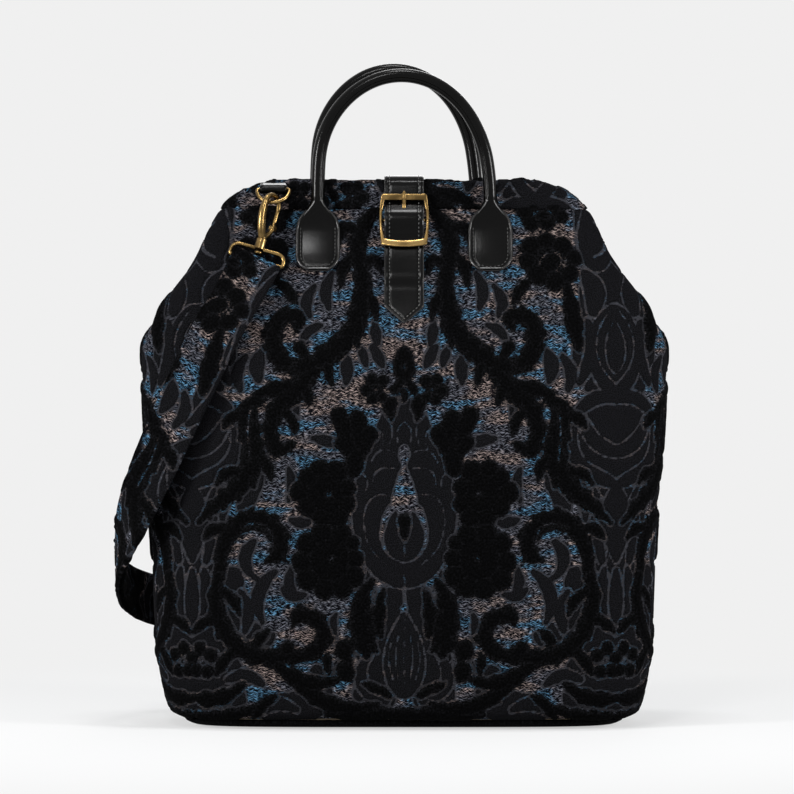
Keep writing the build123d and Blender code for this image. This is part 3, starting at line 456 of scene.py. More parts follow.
def figure(u, v):
    """Depth inside the cut velvet and inside the loop pile, in millimetres, at places on the cloth."""
    across = np.abs((u / FIGURE_UNIT + FIGURE_HALF) % (2 * FIGURE_HALF) - FIGURE_HALF)
    span = FIGURE_DROP[1] - FIGURE_DROP[0]
    drop = ((FIGURE_TOP - v) / FIGURE_UNIT - FIGURE_DROP[0]) % (2 * span)
    drop = FIGURE_DROP[0] + span - np.abs(drop - span)
    wobble = FIGURE_WOBBLE * ripple(u, v, 11, 9, 0.3, 1.3)
    velvet, other = depth_in(VELVET_LEAVES, across, drop, True)
    crease = np.where(other > 2, velvet - other, 30)
    ground, _ = depth_in(GROUND_STROKES, across, drop, False)
    loop = depth_in(LOOP_STROKES, across, drop, False)[0] + LOOP_GROWTH
    filled = np.minimum(depth_in(FILLED_STROKES, across, drop, True)[0], np.abs(loop + 2) - 2.6)
    loop = np.maximum(loop, filled)
    # Capping the depth near creases lowers the pile there and, through the nap colour, paints a highlight along
    # each crease.
    velvet = np.minimum(np.minimum(velvet + 0.4, 0.6 - ground) + wobble, 2.2 + 1.5 * crease)
    loop = np.minimum(np.minimum(loop, -ground) + 0.6 * wobble, -velvet - LOOP_GAP)
    return velvet * FIGURE_UNIT, loop * FIGURE_UNIT


def pile(velvet, loop):
    """Height of the pile over the ground weave."""
    tufts = VELVET_PILE * step_up(velvet, -0.5, 1.2) + VELVET_CROWN * step_up(velvet, 0.5, 5.5)
    return tufts + LOOP_PILE * step_up(loop, -0.4, 0.9)


# Meshes


def placed(name, data):
    """Object in the scene, at the origin."""
    thing = bpy.data.objects.new(name, data)
    bpy.context.scene.collection.objects.link(thing)
    return thing


def mesh_object(name, places, faces, material, uv=None, fields=None):
    """Mesh object from places in millimetres, with an optional cloth map and named values."""
    mesh = bpy.data.meshes.new(name)
    mesh.from_pydata((np.asarray(places) * MM).tolist(), [], [tuple(int(i) for i in f) for f in faces])
    mesh.polygons.foreach_set("use_smooth", [True] * len(mesh.polygons))
    if uv is not None:
        corner = np.zeros(len(mesh.loops), np.int32)
        mesh.loops.foreach_get("vertex_index", corner)
        layer = mesh.uv_layers.new(name="cloth")
        layer.data.foreach_set("uv", (np.asarray(uv) * MM)[corner].astype(np.float32).ravel())
    for key, values in (fields or {}).items():
        mesh.attributes.new(key, "FLOAT", "POINT").data.foreach_set("value", np.asarray(values, np.float32))
    mesh.materials.append(material)
    mesh.update()
    return placed(name, mesh)


def grid_faces(rows, columns, closed=False):
    """Quads between the rows of a grid."""
    faces = []
    last = columns if closed else columns - 1
    for r in range(rows - 1):
        low, high = r * columns, (r + 1) * columns
        for c in range(last):
            d = (c + 1) % columns
            faces.append((low + c, low + d, high + d, high + c))
    return faces


def volume_of(places, faces):
    """Signed volume, to tell whether a closed mesh is inside out."""
    total = 0.0
    for face in faces:
        for i in range(1, len(face) - 1):
            total += np.dot(places[face[0]], np.cross(places[face[i]], places[face[i + 1]]))
    return total


def skin(rings, looped=False):
    """Places and faces of a surface through rings, closed at both ends or joined into a loop."""
    rings = np.asarray(rings, float)
    rows, columns, _ = rings.shape
    places = list(rings.reshape(-1, 3))
    faces = grid_faces(rows, columns, closed=True)
    if looped:
        low = (rows - 1) * columns
        for c in range(columns):
            d = (c + 1) % columns
            faces.append((low + c, low + d, d, c))
    else:
        for start, order in ((0, -1), ((rows - 1) * columns, 1)):
            places.append(rings[start // columns].mean(0))
            for c in range(columns):
                pair = (start + c, start + (c + 1) % columns)
                faces.append((*pair[::order], len(places) - 1))
    if volume_of(places, faces) < 0:
        faces = [f[::-1] for f in faces]
    return np.array(places), faces


def joined(shells):
    """Places and faces of several skins as one mesh."""
    places, faces = [], []
    for spots, found in shells:
        faces += [tuple(i + len(places) for i in f) for f in found]
        places += list(spots)
    return np.array(places), faces


def tube(path, radius, count, side=(0, 0, 1)):
    """Rings of a round wire along a path, each begun on the given side."""
    path = np.asarray(path, float)
    radius = np.broadcast_to(radius, len(path))
    first = np.array(side, float)
    turn = turns(count)
    rings = []
    for place, along, r in zip(path, unit(np.gradient(path, axis=0)), radius):
        first = first - along * first.dot(along)
        first /= np.linalg.norm(first)
        second = np.cross(along, first)
        rings.append(place + r * (np.cos(turn)[:, None] * first + np.sin(turn)[:, None] * second))
    return np.array(rings)


def dressed(thing, body, nodes):
    """Piece that moves with a body and stands for CAD nodes."""
    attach(thing, body)
    if nodes:
        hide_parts(*nodes)
    return thing


# Node trees


class Wire:
    """A node's output that can be written in sums."""

    def __init__(self, tree, socket):
        self.tree, self.socket = tree, socket

    def _sum(self, operation, *values):
        return node(self.tree, "ShaderNodeMath", *values, operation=operation)

    def __add__(self, other):
        return self._sum("ADD", self, other)

    def __radd__(self, other):
        return self._sum("ADD", other, self)

    def __sub__(self, other):
        return self._sum("SUBTRACT", self, other)

    def __rsub__(self, other):
        return self._sum("SUBTRACT", other, self)

    def __mul__(self, other):
        return self._sum("MULTIPLY", self, other)

    def __rmul__(self, other):
        return self._sum("MULTIPLY", other, self)

    def __truediv__(self, other):
        return self._sum("DIVIDE", self, other)


def node(tree, kind, *values, out=0, named=None, **settings):
    """New node with its settings first, then its sockets; gives one of its outputs."""
    made = tree.nodes.new(kind)
    for key, value in settings.items():
        setattr(made, key, value)
    for key, value in [*enumerate(values), *(named or {}).items()]:
        if isinstance(value, Wire):
            tree.links.new(value.socket, made.inputs[key])
        elif value is not None:
            made.inputs[key].default_value = value
    return Wire(tree, made.outputs[out]) if len(made.outputs) else made


def curve_of(tree, value, low, high, to_low=0.0, to_high=1.0):
    """Smooth rise of a value between two limits."""
    return node(
        tree, "ShaderNodeMapRange", value, low, high, to_low, to_high, interpolation_type="SMOOTHSTEP"
    )


def mixed(tree, share, first, second):
    """Colour between two colours."""
    pick = {0: share, 6: first, 7: second}
    return node(tree, "ShaderNodeMix", out=2, named=pick, data_type="RGBA")


def grey(level):
    """Colour without a hue."""
    return (level, level, level, 1.0)


def new_material(name):
    """Empty node material and its tree."""
    material = bpy.data.materials.new(name)
    material.use_nodes = True
    material.node_tree.nodes.clear()
    return material, material.node_tree


def finish_surface(tree, **sockets):
    """Principled surface from named sockets, linked to the output."""
    named = {key.replace("_", " "): value for key, value in sockets.items()}
    shader = node(tree, "ShaderNodeBsdfPrincipled", named=named)
    node(tree, "ShaderNodeOutputMaterial", shader)


def noise(tree, vector, scale, detail=2.0, roughness=0.5, out=0):
    """Cloudy value or colour."""
    named = {"Vector": vector, "Scale": scale, "Detail": detail, "Roughness": roughness}
    return node(tree, "ShaderNodeTexNoise", out=out, named=named)


def bump(tree, height, strength, distance):
    """Normal of a fine relief."""
    return node(tree, "ShaderNodeBump", named={"Height": height, "Strength": strength, "Distance": distance})


# Colours of the cloth and the brass
YARN_GREY = (0.126, 0.130, 0.156, 1)
YARN_TAN = (0.280, 0.218, 0.200, 1)
YARN_BLUE = (0.086, 0.202, 0.322, 1)
YARN_GAP = (0.002, 0.002, 0.003, 1)
LOOP_DARK, LOOP_LIGHT = grey(0.001), (0.0112, 0.0112, 0.0132, 1)
LOOP_EDGE = (0.026, 0.026, 0.030, 1)
# The paler nap colour serves both random pale tufts and the painted highlight on the velvet's edges and creases.
NAP_DARK, NAP_PALE_AND_HIGHLIT = grey(0.0006), (0.0098, 0.0098, 0.0112, 1)
NAP_SHADOW = grey(0.004)
BRASS_BRIGHT = (0.25, 0.163, 0.062, 1)
BRASS_PATINA = (0.105, 0.068, 0.026, 1)


def carpet_cloth():
    """Damask cloth: black cut velvet and grey loop pile on a streaked blue, tan and grey ground."""
    material, tree = new_material("carpet_cloth")
    place = node(tree, "ShaderNodeUVMap", uv_map="cloth")
    split = node(tree, "ShaderNodeSeparateXYZ", place).socket.node
    u, v = Wire(tree, split.outputs[0]) * 1000, Wire(tree, split.outputs[1]) * 1000
    velvet = node(tree, "ShaderNodeAttribute", out=2, attribute_name="velvet")
    loop = node(tree, "ShaderNodeAttribute", out=2, attribute_name="loop")
    fuzz = (noise(tree, place, 900.0, 2.0) - 0.5) + (noise(tree, place, 330.0, 2.0) - 0.5) * 1.3
    zig = node(tree, "ShaderNodeMath", u / 3.0, 1.0, operation="PINGPONG")
    warp = v + zig * 1.3 + (noise(tree, place, 200.0, 1.0) - 0.5) * 2.0
    yarn_place = node(tree, "ShaderNodeCombineXYZ", u * 0.17, warp * 0.8, 0.0)
    fleck = noise(tree, yarn_place, 1.7, 2.0, 0.6)
    thread = curve_of(tree, fleck, 0.49, 0.63)
    streak_place = node(tree, "ShaderNodeCombineXYZ", u * 0.022, v * 0.068, 0.0)
    streak = noise(tree, streak_place, 1.0, 2.5, 0.6, out=1)
    parts = node(tree, "ShaderNodeSeparateColor", streak).socket.node
    blue = curve_of(tree, Wire(tree, parts.outputs[0]), 0.49, 0.59)
    tan = curve_of(tree, Wire(tree, parts.outputs[1]), 0.47, 0.58)
    yarn = mixed(tree, tan, YARN_GREY, YARN_TAN)
    yarn = mixed(tree, blue, yarn, YARN_BLUE)
    ground = mixed(tree, thread, YARN_GAP, yarn)
    grain = noise(tree, place, 1300.0, 2.0, 0.7)
    loops = mixed(tree, curve_of(tree, grain, 0.38, 0.66), LOOP_DARK, LOOP_LIGHT)
    tuft = curve_of(tree, noise(tree, place, 700.0, 3.0, 0.7), 0.4, 0.72)
    # Painted highlight: the nap is lighter where the velvet is shallow, along its edges and creases, standing for
    # pile sides catching light; the tuft noise adds random tone.
    nap_tone_and_highlight = tuft * curve_of(tree, velvet, 0.5, 3.2, 1.0, 0.35)
    nap = mixed(tree, nap_tone_and_highlight, NAP_DARK, NAP_PALE_AND_HIGHLIT)
    in_loop = curve_of(tree, loop + fuzz * 0.7, -0.15, 0.25)
    in_velvet = curve_of(tree, velvet + fuzz * 0.9, -0.25, 0.35)
    broken = curve_of(tree, noise(tree, place, 110.0, 2.0), 0.35, 0.65)
    edge = curve_of(tree, loop, -1.7, -0.6) * (1 - in_loop)
    shadow = curve_of(tree, velvet, -1.8, -0.3) * (1 - in_velvet)
    colour = mixed(tree, edge * (0.72 + 0.28 * broken), ground, LOOP_EDGE)
    colour = mixed(tree, shadow * 0.55, colour, NAP_SHADOW)
    colour = mixed(tree, in_loop, colour, loops)
    colour = mixed(tree, in_velvet, colour, nap)
    relief = thread * 0.5 * (1 - in_velvet) + grain * in_loop + fuzz * in_velvet
    finish_surface(
        tree, Base_Color=colour, Roughness=0.92, Normal=bump(tree, relief, 0.7, 0.0011),
        Specular_IOR_Level=0.012,
    )
    return material


def black_leather(name="black_leather", level=0.0009, gloss=0.17, shine=0.11):
    """Polished black leather with a fine grain."""
    material, tree = new_material(name)
    place = node(tree, "ShaderNodeTexCoord", out=3)
    pores = node(tree, "ShaderNodeTexVoronoi", named={"Vector": place, "Scale": 900.0}, feature="DISTANCE_TO_EDGE")
    wear = noise(tree, place, 35.0, 3.0)
    fine = noise(tree, place, 1500.0, 2.0)
    worn = (level * 1.4, level * 1.35, level * 1.3, 1)
    colour = mixed(tree, curve_of(tree, wear, 0.3, 0.75), grey(level * 0.7), worn)
    rough = gloss + (wear - 0.5) * 0.1 + (fine - 0.5) * 0.04
    relief = curve_of(tree, pores, 0.0, 0.25) + fine * 0.4
    finish_surface(
        tree, Base_Color=colour, Roughness=rough, Normal=bump(tree, relief, 0.05, 0.0003),
        Specular_IOR_Level=shine,
    )
    return material


def antique_brass():
    """Brass with a brown patina left in the hollows."""
    material, tree = new_material("antique_brass")
    place = node(tree, "ShaderNodeTexCoord", out=3)
    cloud = noise(tree, place, 90.0, 2.0, 0.5)
    fine = noise(tree, place, 1100.0, 2.0)
    colour = mixed(tree, curve_of(tree, cloud, 0.35, 0.72), BRASS_BRIGHT, BRASS_PATINA)
    rough = 0.25 + curve_of(tree, cloud, 0.4, 0.75) * 0.06 + (fine - 0.5) * 0.04
    finish_surface(
        tree, Base_Color=colour, Roughness=rough, Metallic=1.0, Normal=bump(tree, fine, 0.03, 0.0001)
    )
    return material


def plain_finish(name, first, second, scale, rough, metal=0.0):
    """Two-toned mottled finish for a hidden piece."""
    material, tree = new_material(name)
    place = node(tree, "ShaderNodeTexCoord", out=3)
    cloud = noise(tree, place, scale, 3.0)
    colour = mixed(tree, curve_of(tree, cloud, 0.35, 0.65), first, second)
    finish_surface(
        tree, Base_Color=colour, Roughness=rough + (cloud - 0.5) * 0.15, Metallic=metal,
        Normal=bump(tree, cloud, 0.1, 0.0004),
    )
    return material


CARPET = carpet_cloth()
LEATHER = black_leather()
EDGE = black_leather("edge_leather", 0.005, 0.22, 0.4)
THREAD = black_leather("black_thread", 0.035, 0.45)
PALE_THREAD = black_leather("pale_thread", 0.085, 0.5)
BRASS = antique_brass()
STEEL = plain_finish("frame_steel", grey(0.42), grey(0.55), 300.0, 0.35, 1.0)
LINING = plain_finish("lining_cloth", (0.02, 0.02, 0.024, 1), (0.035, 0.035, 0.04, 1), 700.0, 0.8)
BOARD = plain_finish("board", (0.16, 0.12, 0.08, 1), (0.22, 0.17, 0.11, 1), 200.0, 0.85)


# Cloth panels


def half_outline(heights, columns, count=700):
    """Front half of the bag at each height, by even share of its length, and the length itself."""
    turn = np.linspace(0, pi, count)
    rows, runs = [], []
    for wide, deep, square in zip(*body_at(heights)):
        x = -wide * squared(np.cos(turn), 2 / square)
        y = -deep * np.sin(turn) ** (2 / square)
        run = np.concatenate(([0], np.cumsum(np.hypot(np.diff(x), np.diff(y)))))
        at = np.linspace(0, run[-1], columns)
        rows.append(np.stack((np.interp(at, run, x), np.interp(at, run, y)), axis=1))
        runs.append(at - run[-1] / 2)
    return np.array(rows), np.array(runs)


def normals_of(grid):
    """Unit normals of a grid of places, on the side that faces away from the bag's middle."""
    across, along = np.gradient(grid, axis=1), np.gradient(grid, axis=0)
    normal = np.cross(across, along)
    normal /= np.linalg.norm(normal, axis=2)[..., None] + 1e-12
    return normal


def cloth_grid(heights, columns, shift=(0, 0)):
    """Half of the bag as a grid, with its normals, its run from the middle and the figure on it."""
    outline, run = half_outline(heights, columns)
    grid = np.concatenate((outline, np.broadcast_to(heights[:, None, None], (*outline.shape[:2], 1))), axis=2)
    u, v = run + shift[0], np.broadcast_to(heights[:, None], run.shape) + shift[1]
    return grid, normals_of(grid), run, (u, v, *figure(u, v))


def sewn_cloth(name, side, grid, pad, values, node_name):
    """Cloth piece from a grid whose hems lie outside the values of the figure."""
    u, v, velvet, loop = (np.pad(a, pad, mode="edge") for a in values)
    if side > 0:
        grid = grid * HALF_TURN
    thing = mesh_object(
        name, grid.reshape(-1, 3), grid_faces(*grid.shape[:2]), CARPET,
        np.stack((u, v), axis=2).reshape(-1, 2), {"velvet": velvet.ravel(), "loop": loop.ravel()},
    )
    return dressed(thing, "bag", [node_name])


def panel(name, side, rows, columns, lift, node_name):
    """Sewn cloth over one half of the bag, with pile, soft unevenness and hems turned in at its edges."""
    heights = np.linspace(BASE_THICKNESS, CASING_LINE + CASING_TUCK, rows)
    grid, normal, run, values = cloth_grid(heights, columns)
    height = pile(*values[2:]) + lift(run, heights) + 0.5 * ripple(run, values[1], 5)
    grid = grid + normal * height[..., None]
    hem = np.array((0.0, 4.0, 0.0))
    foot, top = grid[:1] - normal[:1] * SIDE_HEM + hem, grid[-1:] - normal[-1:] * CASING_HEM
    grid = np.concatenate((foot, grid, top), axis=0)
    left, right = grid[:, :1] + (SIDE_HEM, 0, 0), grid[:, -1:] - (SIDE_HEM, 0, 0)
    grid = np.concatenate((left, grid, right), axis=1)
    return sewn_cloth(name, side, grid, 1, values, node_name)


def panel_lift(run, heights):
    """Seam hollows at the sides and the edges, soft gathers under the casing and room for the clasp."""
    half = np.abs(run).max(axis=1)[:, None]
    seam = -1.6 * (1 - step_up(half - np.abs(run), 0, 4))
    top = -1.5 * (1 - step_up(CASING_LINE + 1 - heights, 0, 5))[:, None]
    low = -1.2 * (1 - step_up(heights - BASE_THICKNESS, 0, 5))[:, None]
    gather = bell(np.abs(run), 120, 50) * bell(heights[:, None], 385, 35)
    clasp = bell(run, CLASP_RUN, 22) * bell(heights[:, None], CLASP_HEIGHT, 26)
    return seam + top + low + 0.8 * gather * np.sin(run / 4.5) - CLASP_ROOM * clasp


def rear_lift(run, heights):
    """The same, pressed flat behind the low rings."""
    ring = bell(np.abs(run), LOW_RING_RUN, 18) * bell(heights[:, None], LOW_RING_HEIGHT, 18)
    return panel_lift(run, heights) - LOW_RING_ROOM * ring


panel("front_cloth", -1, 262, 340, panel_lift, "front_panel")
panel("rear_cloth", 1, 182, 240, rear_lift, "rear_panel")


def casing(name, side, shift, node_name):
    """Puckered band of cloth sewn over the frame, rolled over the top into the mouth."""
    rise = np.concatenate((np.linspace(CASING_LINE, 415, 12), np.linspace(416, BODY_HEIGHT, 9)))
    grid, normal, run, values = cloth_grid(rise, 200, shift)
    normal[-1] = 0.5 * normal[-1] + 0.5 * UP
    v = values[1]
    roll = 0.6 * step_up(rise - CASING_LINE, 0, 3) * (1 - step_up(rise, 412, BODY_HEIGHT))
    height = 0.75 * pile(*values[2:]) + roll[:, None] + 0.35 * ripple(run, v, 8)
    height = height - CASING_ROOM * bell(run, CASING_RUN, 18) * (1 - step_up(rise, 405, 414))[:, None]
    height = height - 1.8 * np.maximum(ripple(6 * run, 2 * v, 12), 0)
    grid = grid + normal * height[..., None]
    cap = []
    for share in (0.7, 0.4, 0.12, 0.03):
        row = grid[-1].copy()
        row[:, 1] *= share
        row[:, 2] += 0.5 * (1 - share) if share > 0.1 else -3.0
        cap.append(row)
    grid = np.concatenate((grid[:1] - normal[:1] * CASING_HEM, grid, np.array(cap)), axis=0)
    return sewn_cloth(name, side, grid, ((1, 4), (0, 0)), values, node_name)


casing("front_band", -1, (61, -150), "front_casing")
casing("rear_band", 1, (-40, -120), "rear_casing")


def base_cloth():
    """Dark cloth under the bag with a corded edge."""
    rings = []
    section = ((0.0, -6), (0.0, -2.0), (0.4, -0.5), (1.4, 0.4), (2.8, 0.8), (4.2, 0.4), (5.4, -0.6), (5.9, -3))
    for height, grow in section:
        wide, deep, square = body_at(min(height, BASE_THICKNESS))
        outline = superellipse(wide + grow, deep + grow, square, 260)
        rings.append(np.column_stack((outline, np.full(len(outline), height))))
    places, faces = skin(rings)
    flat = np.full(len(places), 2.0)
    thing = mesh_object("base_cloth", places, faces, CARPET, places[:, :2], {"velvet": flat, "loop": -flat})
    return dressed(thing, "bag", ["base_panel"])


base_cloth()


# Leather


def handle(name, side, span, leg_height, shift, rise, node_name):
    """Rolled handle whose ends flatten into sewn tabs, made as one skin from tab to tab."""
    tab_bottom = BODY_HEIGHT - HANDLE_ROLL_DROP - TAB_LENGTH + rise
    roll_start = tab_bottom + TAB_LENGTH
    half = span / 2
    arch_y = -(float(reach(half, roll_start)) + 2 * SEAT + HANDLE_RADIUS)
    count = 96
    turn = turns(count)
    at, *columns = NECK_SHARES.T
    legs, stitches, rims = [], [], []
    for end in (-1, 1):
        x = shift + end * half
        leg, rim_line = [], []
        for height in np.concatenate((np.linspace(0.15, 3, 7), np.linspace(4, TAB_LENGTH, 46))):
            share = height / TAB_LENGTH
            widening, flat, square = (smooth_between(share, at, column) for column in columns)
            wide = HANDLE_RADIUS + widening * (TAB_WIDTH / 2 - HANDLE_RADIUS)
            deep = HANDLE_RADIUS + flat * (TAB_THICKNESS / 2 - HANDLE_RADIUS)
            if height < TAB_CORNER:
                wide -= TAB_CORNER - (TAB_CORNER**2 - (TAB_CORNER - height) ** 2) ** 0.5
            deep = min(deep, 0.5 + height * 0.9)
            seat = float(reach(abs(x), tab_bottom + height)) + SEAT
            ring = superellipse(wide, deep, float(square), count)
            inset = np.minimum(wide - np.abs(ring[:, 0]), height)
            front = ring[:, 1] < 0
            groove = bell(inset, TAB_STITCH_INSET, 0.8) * step_up(42 - height, 0, 12)
            rim = bell(inset, 1.3, 0.9) * step_up(44 - height, 0, 12)
            pad = step_up(inset, 2, 15) * step_up(50 - height, 0, 20)
            ring[:, 1] -= np.where(front, TAB_RIM * rim + TAB_PAD * pad - TAB_GROOVE * groove, 0)
            middle = -(seat + deep)
            leg.append(np.column_stack((x + ring[:, 0], middle + ring[:, 1], np.full(count, tab_bottom + height))))
            if height < TAB_RIM_TOP:
                rim_line.append((float(wide) - 0.5, middle - 0.5 * float(deep), tab_bottom + height + 0.4))
        legs.append(leg)
        left_rim = [(x - a, b, c) for a, b, c in rim_line[::-1]]
        rims.append(np.array(left_rim + [(x + a, b, c) for a, b, c in rim_line]))
        line = []
        for height in np.linspace(TAB_STITCH_TOP, TAB_STITCH_INSET, 30):
            edge = TAB_WIDTH / 2 - TAB_STITCH_INSET
            inner = TAB_CORNER - TAB_STITCH_INSET
            low = height - TAB_STITCH_INSET
            if low < inner:
                edge -= inner - max(inner**2 - (inner - low) ** 2, 0) ** 0.5
            line.append((edge, height))
        outline = [(-a, b) for a, b in line] + [(a, b) for a, b in reversed(line)]
        stitches.append(np.array([
            (x + a, -(float(reach(abs(x), tab_bottom + b)) + SEAT + TAB_THICKNESS - 0.1), tab_bottom + b)
            for a, b in outline
        ]))
    arch = []
    base = roll_start + leg_height
    path = [(shift - half, z) for z in np.linspace(roll_start + 1, base, 12)]
    path += [(shift - half * cos(a), base + half * sin(a)) for a in np.linspace(0, pi, 90)[1:-1]]
    path += [(shift + half, z) for z in np.linspace(base, roll_start + 1, 12)]
    path = np.array(path)
    share = (path[:, 1] - roll_start) / (base + half - roll_start)
    drawn_in = np.sign(path[:, 0] - shift) * half * np.sqrt(np.maximum(1 - share**2, 0))
    path[:, 0] += ARCH_DRAW * (shift + drawn_in - path[:, 0]) + ARCH_LEAN * step_up(share, 0, 0.7)
    radius = HANDLE_RADIUS * (1 - 0.09 * bell(np.cos(turn - 1.5 * pi - 0.55), 1, 0.012))
    wide, deep = radius * np.cos(turn), radius * np.sin(turn)
    for i, (x, z) in enumerate(path):
        run = path[min(i + 1, len(path) - 1)] - path[max(i - 1, 0)]
        run /= np.linalg.norm(run)
        outer = (-run[1], run[0])
        arch.append(np.column_stack((x - wide * outer[0], arch_y + deep, z - wide * outer[1])))
    left, right = legs
    right = [np.column_stack((2 * (shift + half) - r[:, 0], r[:, 1], r[:, 2])) for r in right]
    rings = np.array([*left, *arch, *right[::-1]])
    if side > 0:
        rings = rings * (1, -1, 1)
        stitches, rims = ([s * (1, -1, 1) for s in lines] for lines in (stitches, rims))
    thing = mesh_object(name, *skin(rings), LEATHER)
    dressed(thing, "bag", [node_name])
    return stitches, rims


front_tab_lines, front_rims = handle("front_roll", -1, HANDLE_SPAN, HANDLE_LEG, 0.0, 0.0, "front_handle")
rear_tab_lines, rear_rims = handle(
    "rear_roll", 1, REAR_HANDLE_SPAN, REAR_HANDLE_LEG, REAR_HANDLE_SHIFT, REAR_HANDLE_RISE, "rear_handle"
)


def both_faces(over, under):
    """Places across a strip, over its face and back below it, and which of them are on the face."""
    across = np.concatenate((np.linspace(-1, 1, over), np.linspace(1, -1, under)))
    return across, np.arange(over + under) < over


def front_spot(height, lift):
    """Place in front of the bag's middle, as (y, z)."""
    return (-(float(reach(0, height)) + lift), height)


BUCKLE_HEIGHT = 388.4
BUCKLE_TOP = BUCKLE_HEIGHT + 20.8
BUCKLE_BOTTOM = BUCKLE_HEIGHT - 20.8
BUCKLE_LIFT = 3.9
FLAT_LIFT = SEAT + CLOSURE_THICKNESS / 2
CHAPE_LIFT = FLAT_LIFT + 2.3
CHAPE_HALF = 3.9
CREST_LIFT = SEAT + CHAPE_HALF + CHAPE_HALF + SEAT + CLOSURE_THICKNESS / 2


def closure_strap():
    """Leather strap from the back over the mouth, through the buckle, to a pointed end."""
    shoulder_y, shoulder_z = front_spot(410, FLAT_LIFT)
    crown_y = shoulder_y + 2.6
    crown = BODY_HEIGHT + SEAT + CLOSURE_THICKNESS / 2
    over = [(crown_y, BODY_HEIGHT - 2.6), (crown_y / 2, crown)]
    rear = [front_spot(h, FLAT_LIFT) for h in (335, 345, 355, 365, 375, 385, 398)]
    path = [(-y, z) for y, z in rear] + [(-shoulder_y, shoulder_z)]
    path += [(-over[0][0], over[0][1]), (-over[1][0], over[1][1]), over[1], over[0], (shoulder_y, shoulder_z)]
    path += [front_spot(402.7, FLAT_LIFT), front_spot(392.6, CREST_LIFT), front_spot(384.2, CREST_LIFT)]
    path += [front_spot(376.1, CHAPE_LIFT), front_spot(360, CHAPE_LIFT), front_spot(344.4, CHAPE_LIFT)]
    path += [front_spot(h, FLAT_LIFT) for h in (336, 328, 320, CLOSURE_TIP + 0.4)]
    path = even(eased(path, 4.0), 1.1)
    run = unit(np.gradient(path, axis=0))
    out = np.column_stack((-run[:, 1], run[:, 0]))
    if out[-5, 0] > 0:
        out = -out
    rings, lines, edges = [], [[], []], [[], []]
    front = path[:, 0] < 0
    across, on_face = both_faces(33, 33)
    for i, ((y, z), o) in enumerate(zip(path, out)):
        half = CLOSURE_WIDTH / 2
        if front[i] and z < CLOSURE_TIP + CLOSURE_POINT:
            half = max((z - CLOSURE_TIP) / CLOSURE_POINT * half, 0.3)
        inset = half * (1 - np.abs(across))
        face = CLOSURE_THICKNESS / 2 - 0.8 * (1 - np.minimum(inset / 1.2, 1)) ** 2
        face = face - 0.3 * bell(inset, CLOSURE_STITCH_INSET, 0.55) * (half > 4)
        under = -CLOSURE_THICKNESS / 2 + 0.6 * (1 - np.minimum(inset, 1)) ** 2
        lift = np.where(on_face, face, under)
        rings.append(np.column_stack((half * across, y + o[0] * lift, z + o[1] * lift)))
        level = CLOSURE_THICKNESS / 2 - 0.2
        for k, end in enumerate((-1, 1)):
            edges[k].append((end * (half - 0.25), y + 0.75 * o[0], z + 0.75 * o[1]))
            if half > 3.8:
                lines[k].append((end * (half - CLOSURE_STITCH_INSET), y + o[0] * level, z + o[1] * level))
    thing = mesh_object("closure_leather", *skin(rings), LEATHER)
    dressed(thing, "bag", ["closure_strap"])
    return [np.array(lines[0] + lines[1][::-1])], [np.array(edges[0] + edges[1][::-1])]


closure_lines, closure_edges = closure_strap()


def edging(name, lines, radius):
    """Rounded, polished edges of the leather pieces."""
    shells = []
    for line in lines:
        line = even(line, 0.9)
        step = np.arange(len(line))
        thick = radius * np.minimum(1, 0.3 + np.minimum(step, step[::-1]) / 8)
        shells.append(skin(tube(line, thick, 12, side=(0, 1, 0))))
    return dressed(mesh_object(name, *joined(shells), EDGE), "bag", [])


edging("tab_edging", front_rims + rear_rims, 1.05)
edging("closure_edging", closure_edges, 0.6)


# Buckle


def closed_outline(top, bottom, middle_half, end_half, bow, corner, count):
    """Barrel-sided outline from the middle of its top bar round to it again, evenly spaced."""
    middle = (top + bottom) / 2
    bulge = [
        (end_half + (middle_half - end_half) * (1 - ((z - middle) / (top - middle)) ** 2), z)
        for z in np.linspace(top, bottom, 15)
    ]
    foot = [(end_half * (1 - 2 * t), bottom - bow * 4 * t * (1 - t)) for t in np.linspace(0, 1, 15)[1:-1]]
    left = [(-x, z) for x, z in reversed(bulge)]
    path = even(eased([(0, top), *bulge, *foot, *left, (0, top)], corner), 0.2)
    run = lengths(path)
    at = np.linspace(0, run[-1], count + 1)[:-1]
    return np.stack([np.interp(at, run, path[:, k]) for k in (0, 1)], axis=1)


BAR_Y = -(float(reach(0, BUCKLE_HEIGHT)) + SEAT + CHAPE_HALF)


